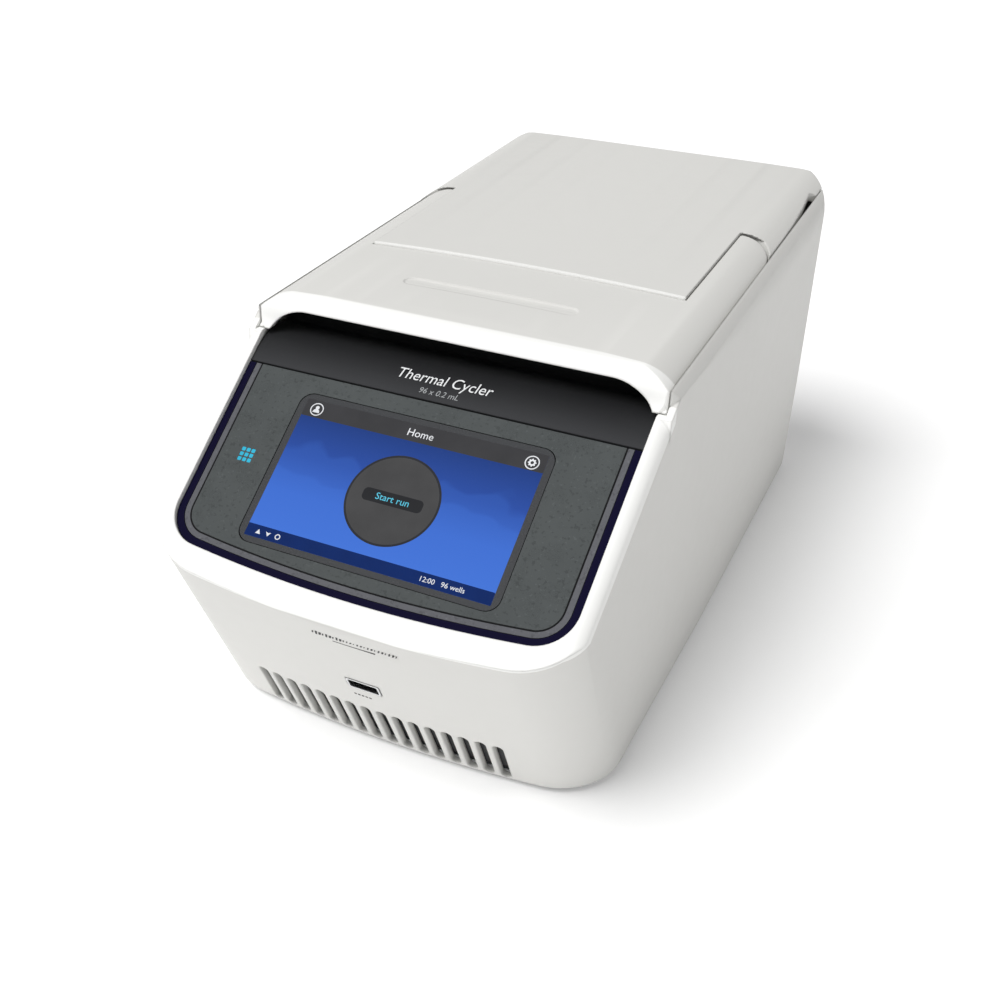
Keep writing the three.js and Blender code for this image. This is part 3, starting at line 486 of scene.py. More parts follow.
@dataclass(frozen=True)
class Scoop:
    """The visor's satin plastic: grey at its foot, with painted shade that deepens where it rolls in under the lid."""

    name: str
    colour: Colour
    # The colour of the painted shade under the lid's lip.
    deep: Colour
    foot_z_m: float = 0.1515
    head_z_m: float = 0.1625

    def build(self) -> bpy.types.Material:
        """Makes the material.

        Returns:
            The material.
        """
        graph = Graph(self.name)
        rounded, worn = graph.edges(0.6)
        parts = graph.node(PARTS, {}, {0: graph.place()})
        height = Value(graph, parts.outputs[2])
        clouds = graph.noise(30.0, 3.0)
        # Painted shade: darker from the foot up to the head, where the lid's lip hangs over it.
        shade = graph.stretch(height + (clouds - 0.5) * 0.0012, self.foot_z_m, self.head_z_m, 0.0, 1.0)
        base = graph.blend(shade, self.colour, self.deep)
        base = graph.blend(worn * 0.12, base, tuple(c * 1.5 for c in self.colour))
        grain = graph.noise(2400.0, 2.0)
        return graph.surface(
            Base_Color=base,
            Roughness=graph.stretch(clouds, 0.3, 0.7, 0.5, 0.6),
            Specular_IOR_Level=0.14,
            Normal=graph.bump(grain, 0.012, rounded),
        )


@dataclass(frozen=True)
class Lit:
    """A lit face of one colour, a little uneven as a backlight is."""

    name: str
    colour: Colour
    strength: float = 1.0
    roughness: float = 0.2

    def build(self) -> bpy.types.Material:
        """Makes the material.

        Returns:
            The material.
        """
        graph = Graph(self.name)
        uneven = graph.noise(90.0, 2.0)
        dim = tuple(c * 0.86 for c in self.colour)
        glow = graph.blend(graph.stretch(uneven, 0.3, 0.7, 0.0, 1.0), self.colour, dim)
        return graph.surface(
            Base_Color=tuple(c * 0.06 for c in self.colour),
            Roughness=graph.stretch(uneven, 0.3, 0.7, self.roughness - 0.02, self.roughness + 0.03),
            Specular_IOR_Level=0.15,
            Emission_Color=glow,
            Emission_Strength=self.strength,
        )


@dataclass(frozen=True)
class Sky:
    """The display's picture: layered blue clouds, darker at the head and brighter at the foot."""

    name: str
    slope: float
    middle: Vector
    half_height: float
    strength: float = 1.0

    def build(self) -> bpy.types.Material:
        """Makes the material.

        Returns:
            The material.
        """
        graph = Graph(self.name)
        turned = graph.place((1.0, 1.0, 1.0), -self.slope)
        parts = graph.node(PARTS, {}, {0: turned})
        up = Value(graph, parts.outputs[1])
        centre = self.middle.y * math.cos(self.slope) + self.middle.z * math.sin(self.slope)
        height = (up - centre) * (1.0 / self.half_height)
        puffs = graph.noise(1.0, 2.0, graph.place((26.0, 30.0, 30.0)))
        billow = height + (puffs - 0.5) * 1.1
        far = graph.node("ShaderNodeValToRGB", {"stops": [
            (0.0, (0.055, 0.17, 0.66)), (0.34, (0.045, 0.14, 0.58)), (0.60, (0.024, 0.075, 0.36)),
            (0.9, (0.013, 0.042, 0.2)),
        ]}, {0: height * 0.5 + 0.5})
        far_puffs = graph.noise(1.0, 2.0, graph.place((40.0, 45.0, 45.0)))
        behind = graph.stretch(height + (far_puffs - 0.5) * 0.9, 0.3, 0.36, 1.0, 0.0)
        layers = graph.stretch(billow, 0.04, 0.09, 1.0, 0.0)
        glow = graph.blend(behind * 0.16, far.outputs[0], (0.06, 0.19, 0.72))
        glow = graph.blend(layers * 0.2, glow, (0.06, 0.19, 0.72))
        return graph.surface(
            Base_Color=(0.003, 0.006, 0.02),
            Roughness=graph.stretch(puffs, 0.3, 0.7, 0.16, 0.2),
            Specular_IOR_Level=0.2,
            Emission_Color=glow,
            Emission_Strength=self.strength,
        )


@dataclass(frozen=True)
class Board:
    """A circuit board: green mask over a grid of copper tracks and bare pads."""

    name: str

    def build(self) -> bpy.types.Material:
        """Makes the material.

        Returns:
            The material.
        """
        graph = Graph(self.name)
        settings = {"offset": 0.5, "squash": 1.0}
        tracks = graph.value("ShaderNodeTexBrick", settings, {
            "Vector": graph.place((1.0, 1.0, 1.0)), "Scale": 160.0, "Mortar Size": 0.035,
        }, "Fac")
        cells = graph.value("ShaderNodeTexVoronoi", {}, {"Vector": graph.place(), "Scale": 190.0}, "Distance")
        pads = graph.stretch(cells, 0.16, 0.2, 1.0, 0.0)
        base = graph.blend(tracks * 0.6, (0.008, 0.09, 0.035), (0.03, 0.2, 0.08))
        base = graph.blend(pads, base, (0.75, 0.62, 0.3))
        return graph.surface(
            Base_Color=base,
            Roughness=0.42 - pads * 0.12,
            Metallic=pads * 0.9,
            Normal=graph.bump(tracks, 0.03),
        )


@dataclass(frozen=True)
class HeaterMat:
    """A silicone heater mat with the serpentine element showing through."""

    name: str

    def build(self) -> bpy.types.Material:
        """Makes the material.

        Returns:
            The material.
        """
        graph = Graph(self.name)
        ripple = graph.value("ShaderNodeTexWave", {"wave_type": "BANDS", "bands_direction": "X"}, {
            "Vector": graph.place(), "Scale": 55.0, "Distortion": 1.0,
        })
        track = graph.stretch(ripple, 0.7, 0.8, 0.0, 1.0)
        base = graph.blend(track * 0.7, (0.36, 0.085, 0.02), (0.2, 0.04, 0.012))
        weave = graph.noise(1400.0, 2.0)
        return graph.surface(
            Base_Color=base,
            Roughness=graph.stretch(weave, 0.3, 0.7, 0.55, 0.7),
            Normal=graph.bump(track, 0.08),
        )


# ------------------------------------------------------------------------------------------------ modelling


def arc(centre: Point, radius: float, start: float, stop: float, steps: int) -> list[Point]:
    """Points on an arc, with its angles in degrees."""
    turns = [math.radians(start + (stop - start) * i / steps) for i in range(steps + 1)]
    return [(centre[0] + radius * math.cos(t), centre[1] + radius * math.sin(t)) for t in turns]


def curve(first: Point, control: Point, last: Point, steps: int) -> list[Point]:
    """Points on a quadratic curve, without its first.

    Args:
        first: where it starts.
        control: the point that pulls it.
        last: where it ends.
        steps: how many pieces it has.

    Returns:
        The points.
    """
    points = []
    for i in range(1, steps + 1):
        t = i / steps
        a, b, c = (1 - t) ** 2, 2 * t * (1 - t), t * t
        points.append(tuple(a * p + b * q + c * r for p, q, r in zip(first, control, last)))
    return points


def rounded_box(x0: float, x1: float, y0: float, y1: float, radius: float, steps: int = 8) -> list[Point]:
    """The outline of a rectangle with round corners.

    Args:
        x0: its left.
        x1: its right.
        y0: its foot.
        y1: its head.
        radius: the radius of its corners.
        steps: how many pieces it has.

    Returns:
        The points.
    """
    return [
        *arc((x1 - radius, y0 + radius), radius, -90, 0, steps),
        *arc((x1 - radius, y1 - radius), radius, 0, 90, steps),
        *arc((x0 + radius, y1 - radius), radius, 90, 180, steps),
        *arc((x0 + radius, y0 + radius), radius, 180, 270, steps),
    ]


def circle(centre: Point, radius: float, steps: int = 64) -> list[Point]:
    """The outline of a circle."""
    return arc(centre, radius, 0, 360, steps)[:-1]


def tidy_outline(points: Iterable[Point]) -> list[Point]:
    """The outline without points that lie on the one before.

    Args:
        points: the points.

    Returns:
        The points.
    """
    kept: list[Point] = []
    for point in points:
        if not kept or math.dist(kept[-1], point) > CLOSE_MM:
            kept.append(point)
    if math.dist(kept[0], kept[-1]) < CLOSE_MM:
        kept.pop()
    return kept


# Frames that turn an outline (a, b) and its sweep into the row's axes.
ALONG_Z = Matrix.Identity(4)
ALONG_X = Matrix(((0, 0, 1, 0), (1, 0, 0, 0), (0, 1, 0, 0), (0, 0, 0, 1)))
ALONG_Y = Matrix(((1, 0, 0, 0), (0, 0, 1, 0), (0, 1, 0, 0), (0, 0, 0, 1)))


class Shop:
    """The modelling moves that every piece is made with."""

    @staticmethod
    def alone(piece: bpy.types.Object) -> bpy.types.Object:
        """Selects one object and makes it the active one.

        Args:
            piece: the piece.

        Returns:
            The object.
        """
        if bpy.context.object and bpy.context.object.mode != "OBJECT":
            bpy.ops.object.mode_set(mode="OBJECT")
        bpy.ops.object.select_all(action="DESELECT")
        piece.select_set(True)
        bpy.context.view_layer.objects.active = piece
        return piece

    @staticmethod
    def settle(piece: bpy.types.Object) -> bpy.types.Object:
        """Puts the object's place into its mesh.

        Args:
            piece: the piece.

        Returns:
            The object.
        """
        Shop.alone(piece)
        bpy.ops.object.transform_apply(location=True, rotation=True, scale=True)
        return piece

    @staticmethod
    def face_out(piece: bpy.types.Object) -> bpy.types.Object:
        """Merges doubled points and turns the faces outwards.

        Args:
            piece: the piece.

        Returns:
            The object.
        """
        Shop.alone(piece)
        bpy.ops.object.mode_set(mode="EDIT")
        bpy.ops.mesh.select_all(action="SELECT")
        bpy.ops.mesh.remove_doubles(threshold=WELD_M)
        bpy.ops.mesh.normals_make_consistent(inside=False)
        bpy.ops.object.mode_set(mode="OBJECT")
        return piece

    @staticmethod
    def prism(name: str, outline: Iterable[Point], low: float, high: float, turn: Matrix = ALONG_Z,
              ) -> bpy.types.Object:
        """A flat outline swept into a solid.

        Args:
            name: the object's name.
            outline: its points in millimetres.
            low: where the sweep starts.
            high: where it ends.
            turn: the frame that the outline is drawn in.

        Returns:
            The object, with its place in its mesh.
        """
        points = tidy_outline(outline)
        bpy.ops.object.select_all(action="DESELECT")
        bpy.ops.mesh.primitive_circle_add(vertices=len(points), radius=1.0, fill_type="NGON")
        piece = bpy.context.object
        piece.name = name
        for vertex, (a, b) in zip(piece.data.vertices, points):
            vertex.co = (a * MM, b * MM, low * MM)
        bpy.ops.object.mode_set(mode="EDIT")
        bpy.ops.mesh.select_all(action="SELECT")
        move = {"value": (0.0, 0.0, (high - low) * MM)}
        bpy.ops.mesh.extrude_region_move(TRANSFORM_OT_translate=move)
        bpy.ops.object.mode_set(mode="OBJECT")
        piece.data.transform(turn)
        return Shop.face_out(piece)

    @staticmethod
    def box(name: str, x0: float, x1: float, y0: float, y1: float, z0: float, z1: float) -> bpy.types.Object:
        """A plain block between two corners, as a cutter or a start."""
        return Shop.prism(name, [(x0, y0), (x1, y0), (x1, y1), (x0, y1)], z0, z1)

    @staticmethod
    def apply(piece: bpy.types.Object, kind: str, **settings: Any) -> bpy.types.Object:
        """Adds a modifier, sets it and applies it.

        Args:
            piece: the piece.
            kind: the modifier's type.
            settings: its settings.

        Returns:
            The object.
        """
        Shop.alone(piece)
        modifier = piece.modifiers.new(kind.lower(), kind)
        for key, setting in settings.items():
            setattr(modifier, key, setting)
        bpy.ops.object.modifier_apply(modifier=modifier.name)
        return piece

    @staticmethod
    def combine(piece: bpy.types.Object, how: str, *tools: bpy.types.Object) -> bpy.types.Object:
        """Applies tools to a piece as booleans, and removes them.

        Args:
            piece: what is changed.
            how: UNION, DIFFERENCE or INTERSECT.
            tools: the solids that change it.

        Returns:
            The piece.
        """
        for tool in tools:
            Shop.apply(piece, "BOOLEAN", operation=how, solver="MANIFOLD", object=tool)
            bpy.data.objects.remove(tool)
        return piece

    @staticmethod
    def copy(piece: bpy.types.Object, name: str, place: Matrix | None = None) -> bpy.types.Object:
        """A copy with its own mesh, moved by a matrix in its mesh.

        Args:
            piece: the piece.
            name: the object's name.
            place: where it goes.

        Returns:
            The object.
        """
        twin = piece.copy()
        twin.data = piece.data.copy()
        twin.name = name
        bpy.context.scene.collection.objects.link(twin)
        if place is not None:
            twin.data.transform(place)
        return twin

    @staticmethod
    def join(name: str, pieces: Sequence[bpy.types.Object]) -> bpy.types.Object:
        """Joins objects into one.

        Args:
            name: the object's name.
            pieces: the objects.

        Returns:
            The object.
        """
        Shop.alone(pieces[0])
        for piece in pieces[1:]:
            piece.select_set(True)
        if len(pieces) > 1:
            bpy.ops.object.join()
        pieces[0].name = name
        return pieces[0]

    @staticmethod
    def smooth(piece: bpy.types.Object, angle: float = 32.0) -> bpy.types.Object:
        """Shades a piece smooth up to an angle, with flat faces kept flat.

        Args:
            piece: the piece.
            angle: the angle up to which it is smooth.

        Returns:
            The object.
        """
        Shop.face_out(piece)
        bpy.ops.object.shade_smooth_by_angle(angle=math.radians(angle))
        return Shop.apply(piece, "WEIGHTED_NORMAL", keep_sharp=True, weight=90)

    @staticmethod
    def soften(piece: bpy.types.Object, width: float, segments: int = 2, angle: float = 50.0) -> bpy.types.Object:
        """Rounds the edges that turn by more than an angle.

        Args:
            piece: the piece.
            width: how wide the rounding is.
            segments: how many faces it has.
            angle: the least turn of an edge that is rounded.

        Returns:
            The object.
        """
        return Shop.apply(
            piece, "BEVEL", width=width * MM, segments=segments, limit_method="ANGLE",
            angle_limit=math.radians(angle), use_clamp_overlap=False,
        )

    @staticmethod
    def lettering(name: str, words: str, height: float, lift: float, slant: float = 0.0) -> bpy.types.Object:
        """Raised lettering, centred on the origin of the XY plane.

        Args:
            name: the object's name.
            words: what it says.
            height: the size of its capitals, about, in millimetres.
            lift: how thick it is.
            slant: how far it leans.

        Returns:
            A mesh object.
        """
        bpy.ops.object.select_all(action="DESELECT")
        bpy.ops.object.text_add()
        text = bpy.context.object
        text.name = name
        text.data.body = words
        text.data.size = height * 1.38 * MM
        text.data.extrude = lift * MM / 2
        text.data.shear = slant
        text.data.resolution_u = 3
        text.data.align_x = "CENTER"
        text.data.align_y = "CENTER"
        bpy.ops.object.convert(target="MESH")
        return Shop.settle(bpy.context.object)

    @staticmethod
    def dress(piece: bpy.types.Object, material: bpy.types.Material) -> bpy.types.Object:
        """Gives every face of a piece one material.

        Args:
            piece: the piece.
            material: the material.

        Returns:
            The object.
        """
        piece.data.materials.clear()
        piece.data.materials.append(material)
        return piece


class Wardrobe:
    """The finishes, each made once."""

    def __init__(self) -> None:
        """Starts with nothing made."""
        self.made: dict[str, bpy.types.Material] = {}

    def get(self, finish: Any) -> bpy.types.Material:
        """The material of a finish.

        Args:
            finish: the finish.

        Returns:
            The material.
        """
        if finish.name not in self.made:
            self.made[finish.name] = finish.build()
        return self.made[finish.name]


# The lid and the lever are painted near white along their front edges, and the body on its panel rim: painted
# highlights.
LID_WHITE = Moulded("white_lid", (0.72, 0.715, 0.69), roughness=0.5, mottle=0.012, grain_mm=0.006, edge_mm=1.2,
                    specular=0.3, painted_highlight_y_m=-0.0196)
LEVER_WHITE = replace(LID_WHITE, name="white_lever", painted_highlight_y_m=-0.0872)
BODY_WHITE = replace(LID_WHITE, name="white_body", edge_mm=1.6, painted_highlight_y_m=None, rim=True)
DARK = Moulded("dark_moulding", (0.022, 0.023, 0.025), roughness=0.5, mottle=0.08, grain_mm=0.02, edge_paler=0.5)
# The visor's second colour is painted shade under the lid's lip.
VISOR_GREY = Scoop("visor_moulding", (0.043, 0.044, 0.047), (0.0022, 0.0022, 0.0024))
BLACK = Moulded("black_moulding", (0.006, 0.006, 0.007), roughness=0.42, mottle=0.05, grain_mm=0.01, edge_paler=1.0)
NAVY = Moulded("navy_trim", (0.0045, 0.0035, 0.022), roughness=0.4, mottle=0.05, grain_mm=0.002, edge_mm=0.3,
               edge_paler=0.3, specular=0.12)
GREY_FILM = Overlay("grey_overlay", (0.078, 0.086, 0.087))
GREY_STRIP = Overlay("grey_strip", (0.12, 0.122, 0.134))
STEEL = Metal("brushed_steel", (0.58, 0.59, 0.6))
BRIGHT_STEEL = Metal("bright_steel", (0.72, 0.73, 0.74), roughness=0.22)
SPRING_STEEL = Metal("spring_steel", (0.5, 0.5, 0.52), roughness=0.26, lines=(500.0, 500.0, 500.0))
ALUMINIUM = Metal("machined_aluminium", (0.76, 0.77, 0.78), roughness=0.36, lines=(900.0, 40.0, 900.0))
SINK_ALUMINIUM = Metal("extruded_aluminium", (0.66, 0.67, 0.69), roughness=0.42, lines=(900.0, 25.0, 900.0))
GUARD_WIRE = Metal("guard_wire", (0.09, 0.09, 0.1), roughness=0.35, lines=(300.0, 300.0, 300.0))
RUBBER = Rubber("black_rubber")
BOARD = Board("circuit_board")
CERAMIC = Moulded("white_ceramic", (0.78, 0.76, 0.7), roughness=0.6, mottle=0.03, grain_mm=0.01)
HEATER = HeaterMat("heater_mat")
CYAN = Lit("cyan_light", (0.045, 0.5, 0.72), 1.0)
VENT_MESH = Moulded("vent_mesh", (0.045, 0.046, 0.048), 0.7, 0.1, 900.0, 0.15)
FRONT_PRINT = Moulded("front_print", (0.04, 0.04, 0.042), roughness=0.6, mottle=0.05, edge_mm=0.1)


# ------------------------------------------------------------------------------------------- the outer form


@dataclass
class Form:
    """The housing's outer form, as solids that the shells are cut from. All sizes are in millimetres."""

    half_width: float = 98.0
    rear_y: float = 192.5
    base_z: float = 4.0
    top_z: float = 179.3
    lean: float = 25.4
    slope: float = 34.25
    front_foot_y: float = -150.8
    front_tuck: float = 4.0
    taper_y: float = 100.0
    base_tuck: float = 2.4
    draft_z: float = 85.0
    nose_radius: float = 4.0
    rim_edge_radius: float = 6.0
    rim_half_foot: float = 92.4
    rim_half_head: float = 95.3
    crown_radius: float = 1600.0
    shoulder_radius: float = 22.0
    rear_top_radius: float = 15.0
    rear_corner_radius: float = 34.0
    front_corner_radius: float = 30.0
    front_bow_radius: float = 550.0
    lip_foot_y: float = -98.5
    lip_nose_y: float = -95.0
    lip_nose_z: float = 168.0
    lip_top_y: float = -78.0
    lip_corner_radius: float = 18.0
    panel_y: float = -144.5
    panel_z: float = 126.0
    rim_height: float = 2.0
    opening_half: float = 88.9
    opening_foot: float = -43.5
    opening_head: float = 78.0
    opening_corner: float = 17.0
    opening_bow: float = 8.0
    opening_taper: float = 0.00013
    count: int = field(default=0, init=False)

    @property
    def panel(self) -> Matrix:
        """The panel's frame: across, up the slope and out of it, in metres."""
        turn = Matrix.Rotation(math.radians(self.slope), 4, "X")
        return Matrix.Translation((0.0, self.panel_y * MM, self.panel_z * MM)) @ turn

    def side_outline(self, inset: float) -> list[Point]:
        """The form from the side, in (y, z), drawn in by an inset.

        Args:
            inset: how far it is drawn in.

        Returns:
            The points.
        """
        slope, lean = math.radians(self.slope), math.radians(self.lean)
        foot = self.base_z - (5.0 if inset > 0 else 0.0)
        rear, top = self.rear_y - inset, self.top_z - inset
        up = Vector((math.cos(slope), math.sin(slope)))
        out = Vector((-math.sin(slope), math.cos(slope)))
        lean_up = Vector((-math.sin(lean), math.cos(lean)))
        lean_in = Vector((math.cos(lean), math.sin(lean)))
        on_slope = Vector((self.panel_y, self.panel_z)) + out * (self.rim_height - inset)
        on_lean = Vector((self.front_foot_y, self.base_z)) + lean_in * inset
        radius = max(self.nose_radius - inset, 2.0)
        a = on_slope - out * radius
        b = on_lean + lean_in * radius
        gap = b - a
        cross = up.x * lean_up.y - up.y * lean_up.x
        nose = a + up * ((gap.x * lean_up.y - gap.y * lean_up.x) / cross)
        lip_y = self.lip_foot_y + 0.6 * inset
        lip_z = on_slope.y + (lip_y - on_slope.x) * math.tan(slope)
        tip_y = self.lip_nose_y + inset
        tip = (tip_y, self.lip_nose_z - inset)
        rise = math.tan(lean)
        rear_centre = (self.rear_y - self.rear_top_radius, self.top_z - self.rear_top_radius)
        return [
            (rear, foot),
            *arc(rear_centre, self.rear_top_radius - inset, 0, 90, 12),
            (self.lip_top_y, top),
            *curve((self.lip_top_y, top), (tip_y, top), tip, 12),
            *curve(tip, (tip_y, lip_z + 2), (lip_y, lip_z), 8),
            *arc(tuple(nose), radius, 90 + self.slope, 180 + self.lean, 8),
            (on_lean.x + (self.base_z - foot) * rise + (on_lean.y - self.base_z) * rise, foot),
        ]

    def front_outline(self, inset: float) -> list[Point]:
        """The form from the front, in (x, z).

        Args:
            inset: how far it is drawn in.

        Returns:
            The points.
        """
        half = self.half_width - inset
        foot = half - self.base_tuck
        crown_z = self.top_z - self.crown_radius
        reach = self.crown_radius - self.shoulder_radius
        x = self.half_width - self.shoulder_radius
        z = crown_z + math.sqrt(reach**2 - x**2)
        tilt = math.degrees(math.asin(x / reach))
        radius = self.shoulder_radius - inset
        return [
            (-foot, self.base_z - 10), (foot, self.base_z - 10), (foot, self.base_z), (half, self.draft_z),
            *arc((x, z), radius, 0, 90 - tilt, 14),
            *arc((0, crown_z), self.crown_radius - inset, 90 - tilt, 90 + tilt, 24),
            *arc((-x, z), radius, 90 + tilt, 180, 14),
            (-half, self.draft_z), (-foot, self.base_z),
        ]

    def front_plan(self, inset: float) -> list[Point]:
        """The form's front from above at the foot, in (x, y).

        Args:
            inset: how far it is drawn in.

        Returns:
            The points.
        """
        x = self.half_width - self.front_tuck - self.front_corner_radius
        reach = self.front_bow_radius - self.front_corner_radius
        bow_y = self.front_foot_y + self.front_bow_radius
        y = bow_y - math.sqrt(reach**2 - x**2)
        tilt = math.degrees(math.asin(x / reach))
        edge = inset / math.cos(math.radians(self.lean))
        radius = self.front_corner_radius - inset
        half = self.half_width - inset
        front, bend = half - self.front_tuck, half - 0.65 * self.front_tuck
        return [
            (half, self.rear_y + 200), (-half, self.rear_y + 200), (-half, self.taper_y),
            *curve((-half, self.taper_y), (-bend, 10), (-front, y), 12),
            *arc((-x, y), radius, 180, 270 - tilt, 14),
            *arc((0, bow_y), self.front_bow_radius - edge, 270 - tilt, 270 + tilt, 20),
            *arc((x, y), radius, 270 + tilt, 360, 14),
            *curve((front, y), (bend, 10), (half, self.taper_y), 12),
        ]

    def rear_plan(self, inset: float) -> list[Point]:
        """The form's rear from above."""
        half = self.half_width - inset
        return rounded_box(-half, half, -self.rear_y - 60, self.rear_y - inset, self.rear_corner_radius - inset, 14)

    def slope_bar(self, inset: float) -> bpy.types.Object:
        """A bar along the slope that rounds the rim's side edges, narrower at its foot.

        Args:
            inset: how far it is drawn in.

        Returns:
            The object.
        """
        foot, head = -110.0, 90.0
        half = self.rim_half_head - inset
        radius = max(self.rim_edge_radius - inset, 1.0)
        top = self.rim_height - inset
        shoulder = top - radius
        outline = [
            (-half - 9, -250), (half + 9, -250), (half + 9, shoulder - 46), (half + 0.9, shoulder - 9),
            *arc((half - radius, shoulder), radius, 0, 90, 10), *arc((radius - half, shoulder), radius, 90, 180, 10),
            (-half - 0.9, shoulder - 9), (-half - 9, shoulder - 46),
        ]
        bar = Shop.prism("bar", outline, foot, head, ALONG_Y)
        narrowing = (self.rim_half_foot - self.rim_half_head) / self.rim_half_head
        for vertex in bar.data.vertices:
            share = (70.0 - vertex.co.y / MM) / 150.0
            vertex.co.x *= 1 + narrowing * share
        bar.data.transform(self.panel)
        return bar

    def solid(self, inset: float) -> bpy.types.Object:
        """The whole form, drawn in by an inset, as one object.

        Args:
            inset: how far it is drawn in.

        Returns:
            The object.
        """
        self.count += 1
        name = f"form_{self.count}"
        wide = self.half_width + 5
        whole = Shop.prism(name, self.side_outline(inset), -wide, wide, ALONG_X)
        front = Shop.prism("front", self.front_outline(inset), -self.rear_y - 50, self.rear_y + 20, ALONG_Y)
        leaning = Shop.prism("leaning", self.front_plan(inset), -10, self.top_z + 10)
        rise = math.tan(math.radians(self.lean))
        for vertex in leaning.data.vertices:
            vertex.co.y += (self.base_z * MM - vertex.co.z) * rise
        rear = Shop.prism("rear", self.rear_plan(inset), -10, self.top_z + 20)
        Shop.combine(whole, "INTERSECT", front, leaning, rear)
        split = self.lip_foot_y + 0.6 * inset
        waste = Shop.box("waste", -wide - 15, wide + 15, -self.rear_y - 30, split, -20, self.top_z + 30)
        Shop.combine(waste, "DIFFERENCE", self.slope_bar(inset))
        return Shop.combine(whole, "DIFFERENCE", waste, self.lip_corners(inset))

    def lip_corners(self, inset: float) -> bpy.types.Object:
        """What is cut away so that the lip's front corners are round from above.

        Args:
            inset: how far it is drawn in.

        Returns:
            The object.
        """
        half = self.half_width - inset
        block = Shop.box("block", -120, 120, -120, -60, 140, self.top_z + 30)
        radius = self.lip_corner_radius - inset
        kept = rounded_box(-half, half, self.lip_foot_y + 0.6 * inset, self.rear_y, radius, 12)
        over = Shop.prism("over", rounded_box(-150, 150, -20, 150, 1, 1), self.rim_height - inset, 90)
        over.data.transform(self.panel)
        Shop.combine(block, "INTERSECT", over)
        return Shop.combine(block, "DIFFERENCE", Shop.prism("kept", kept, 100, self.top_z + 40))

    def on_panel(self, name: str, outline: Iterable[Point], low: float, high: float) -> bpy.types.Object:
        """An outline in the panel's plane, swept from one height over it to another.

        Args:
            name: the object's name.
            outline: the outline.
            low: where it starts.
            high: where it ends.

        Returns:
            The object.
        """
        piece = Shop.prism(name, outline, low, high)
        piece.data.transform(self.panel)
        return piece

    def opening(self, inset: float, head: float | None = None) -> list[Point]:
        """The panel opening's outline: a bowed foot, round lower corners and sides that draw in toward the foot.

        Args:
            inset: how far it is drawn in.
            head: where it ends up the slope, or None for its own head.

        Returns:
            The points.
        """
        top = self.opening_head if head is None else head
        half, foot, corner = self.opening_half - inset, self.opening_foot + inset, self.opening_corner - inset
        left = arc((-half + corner, foot + corner), corner, 180, 262.8, 12)
        right = arc((half - corner, foot + corner), corner, 277.2, 360, 12)
        bow = curve(left[-1], (0, foot - self.opening_bow), right[0], 24)
        outline = [(half, top), (-half, top), *left, *bow, *right]
        return [(x * (1 - self.opening_taper * (self.opening_head - v)), v) for x, v in outline]


class Builder:
    """What every sub-assembly has: the form, the wardrobe and a way to finish a piece."""

    def __init__(self, form: Form, wardrobe: Wardrobe) -> None:
        """Keeps the shared form and finishes."""
        self.form = form
        self.wardrobe = wardrobe

    def done(self, piece: bpy.types.Object, name: str, finish: Any, body: Body, slot: Slot,
             nodes: Sequence[str] = (), smooth: float | None = 32.0) -> bpy.types.Object:
        """Names, smooths, dresses and mounts a finished piece.

        Args:
            piece: the piece.
            name: its name.
            finish: its finish.
            body: the body that it rides on.
            slot: the record's material slot; not used.
            nodes: the CAD nodes that it stands for.
            smooth: the angle up to which it is smooth, or None.

        Returns:
            The piece.
        """
        piece.name = name
        piece.data.name = name
        if smooth is not None:
            Shop.smooth(piece, smooth)
        Shop.dress(piece, self.wardrobe.get(finish))
        if nodes:
            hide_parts(*nodes)
        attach(piece, body.value)
        LOG.info("%s on %s: %d faces", name, body.value, len(piece.data.polygons))
        return piece


# ------------------------------------------------------------------------------------------------- housing


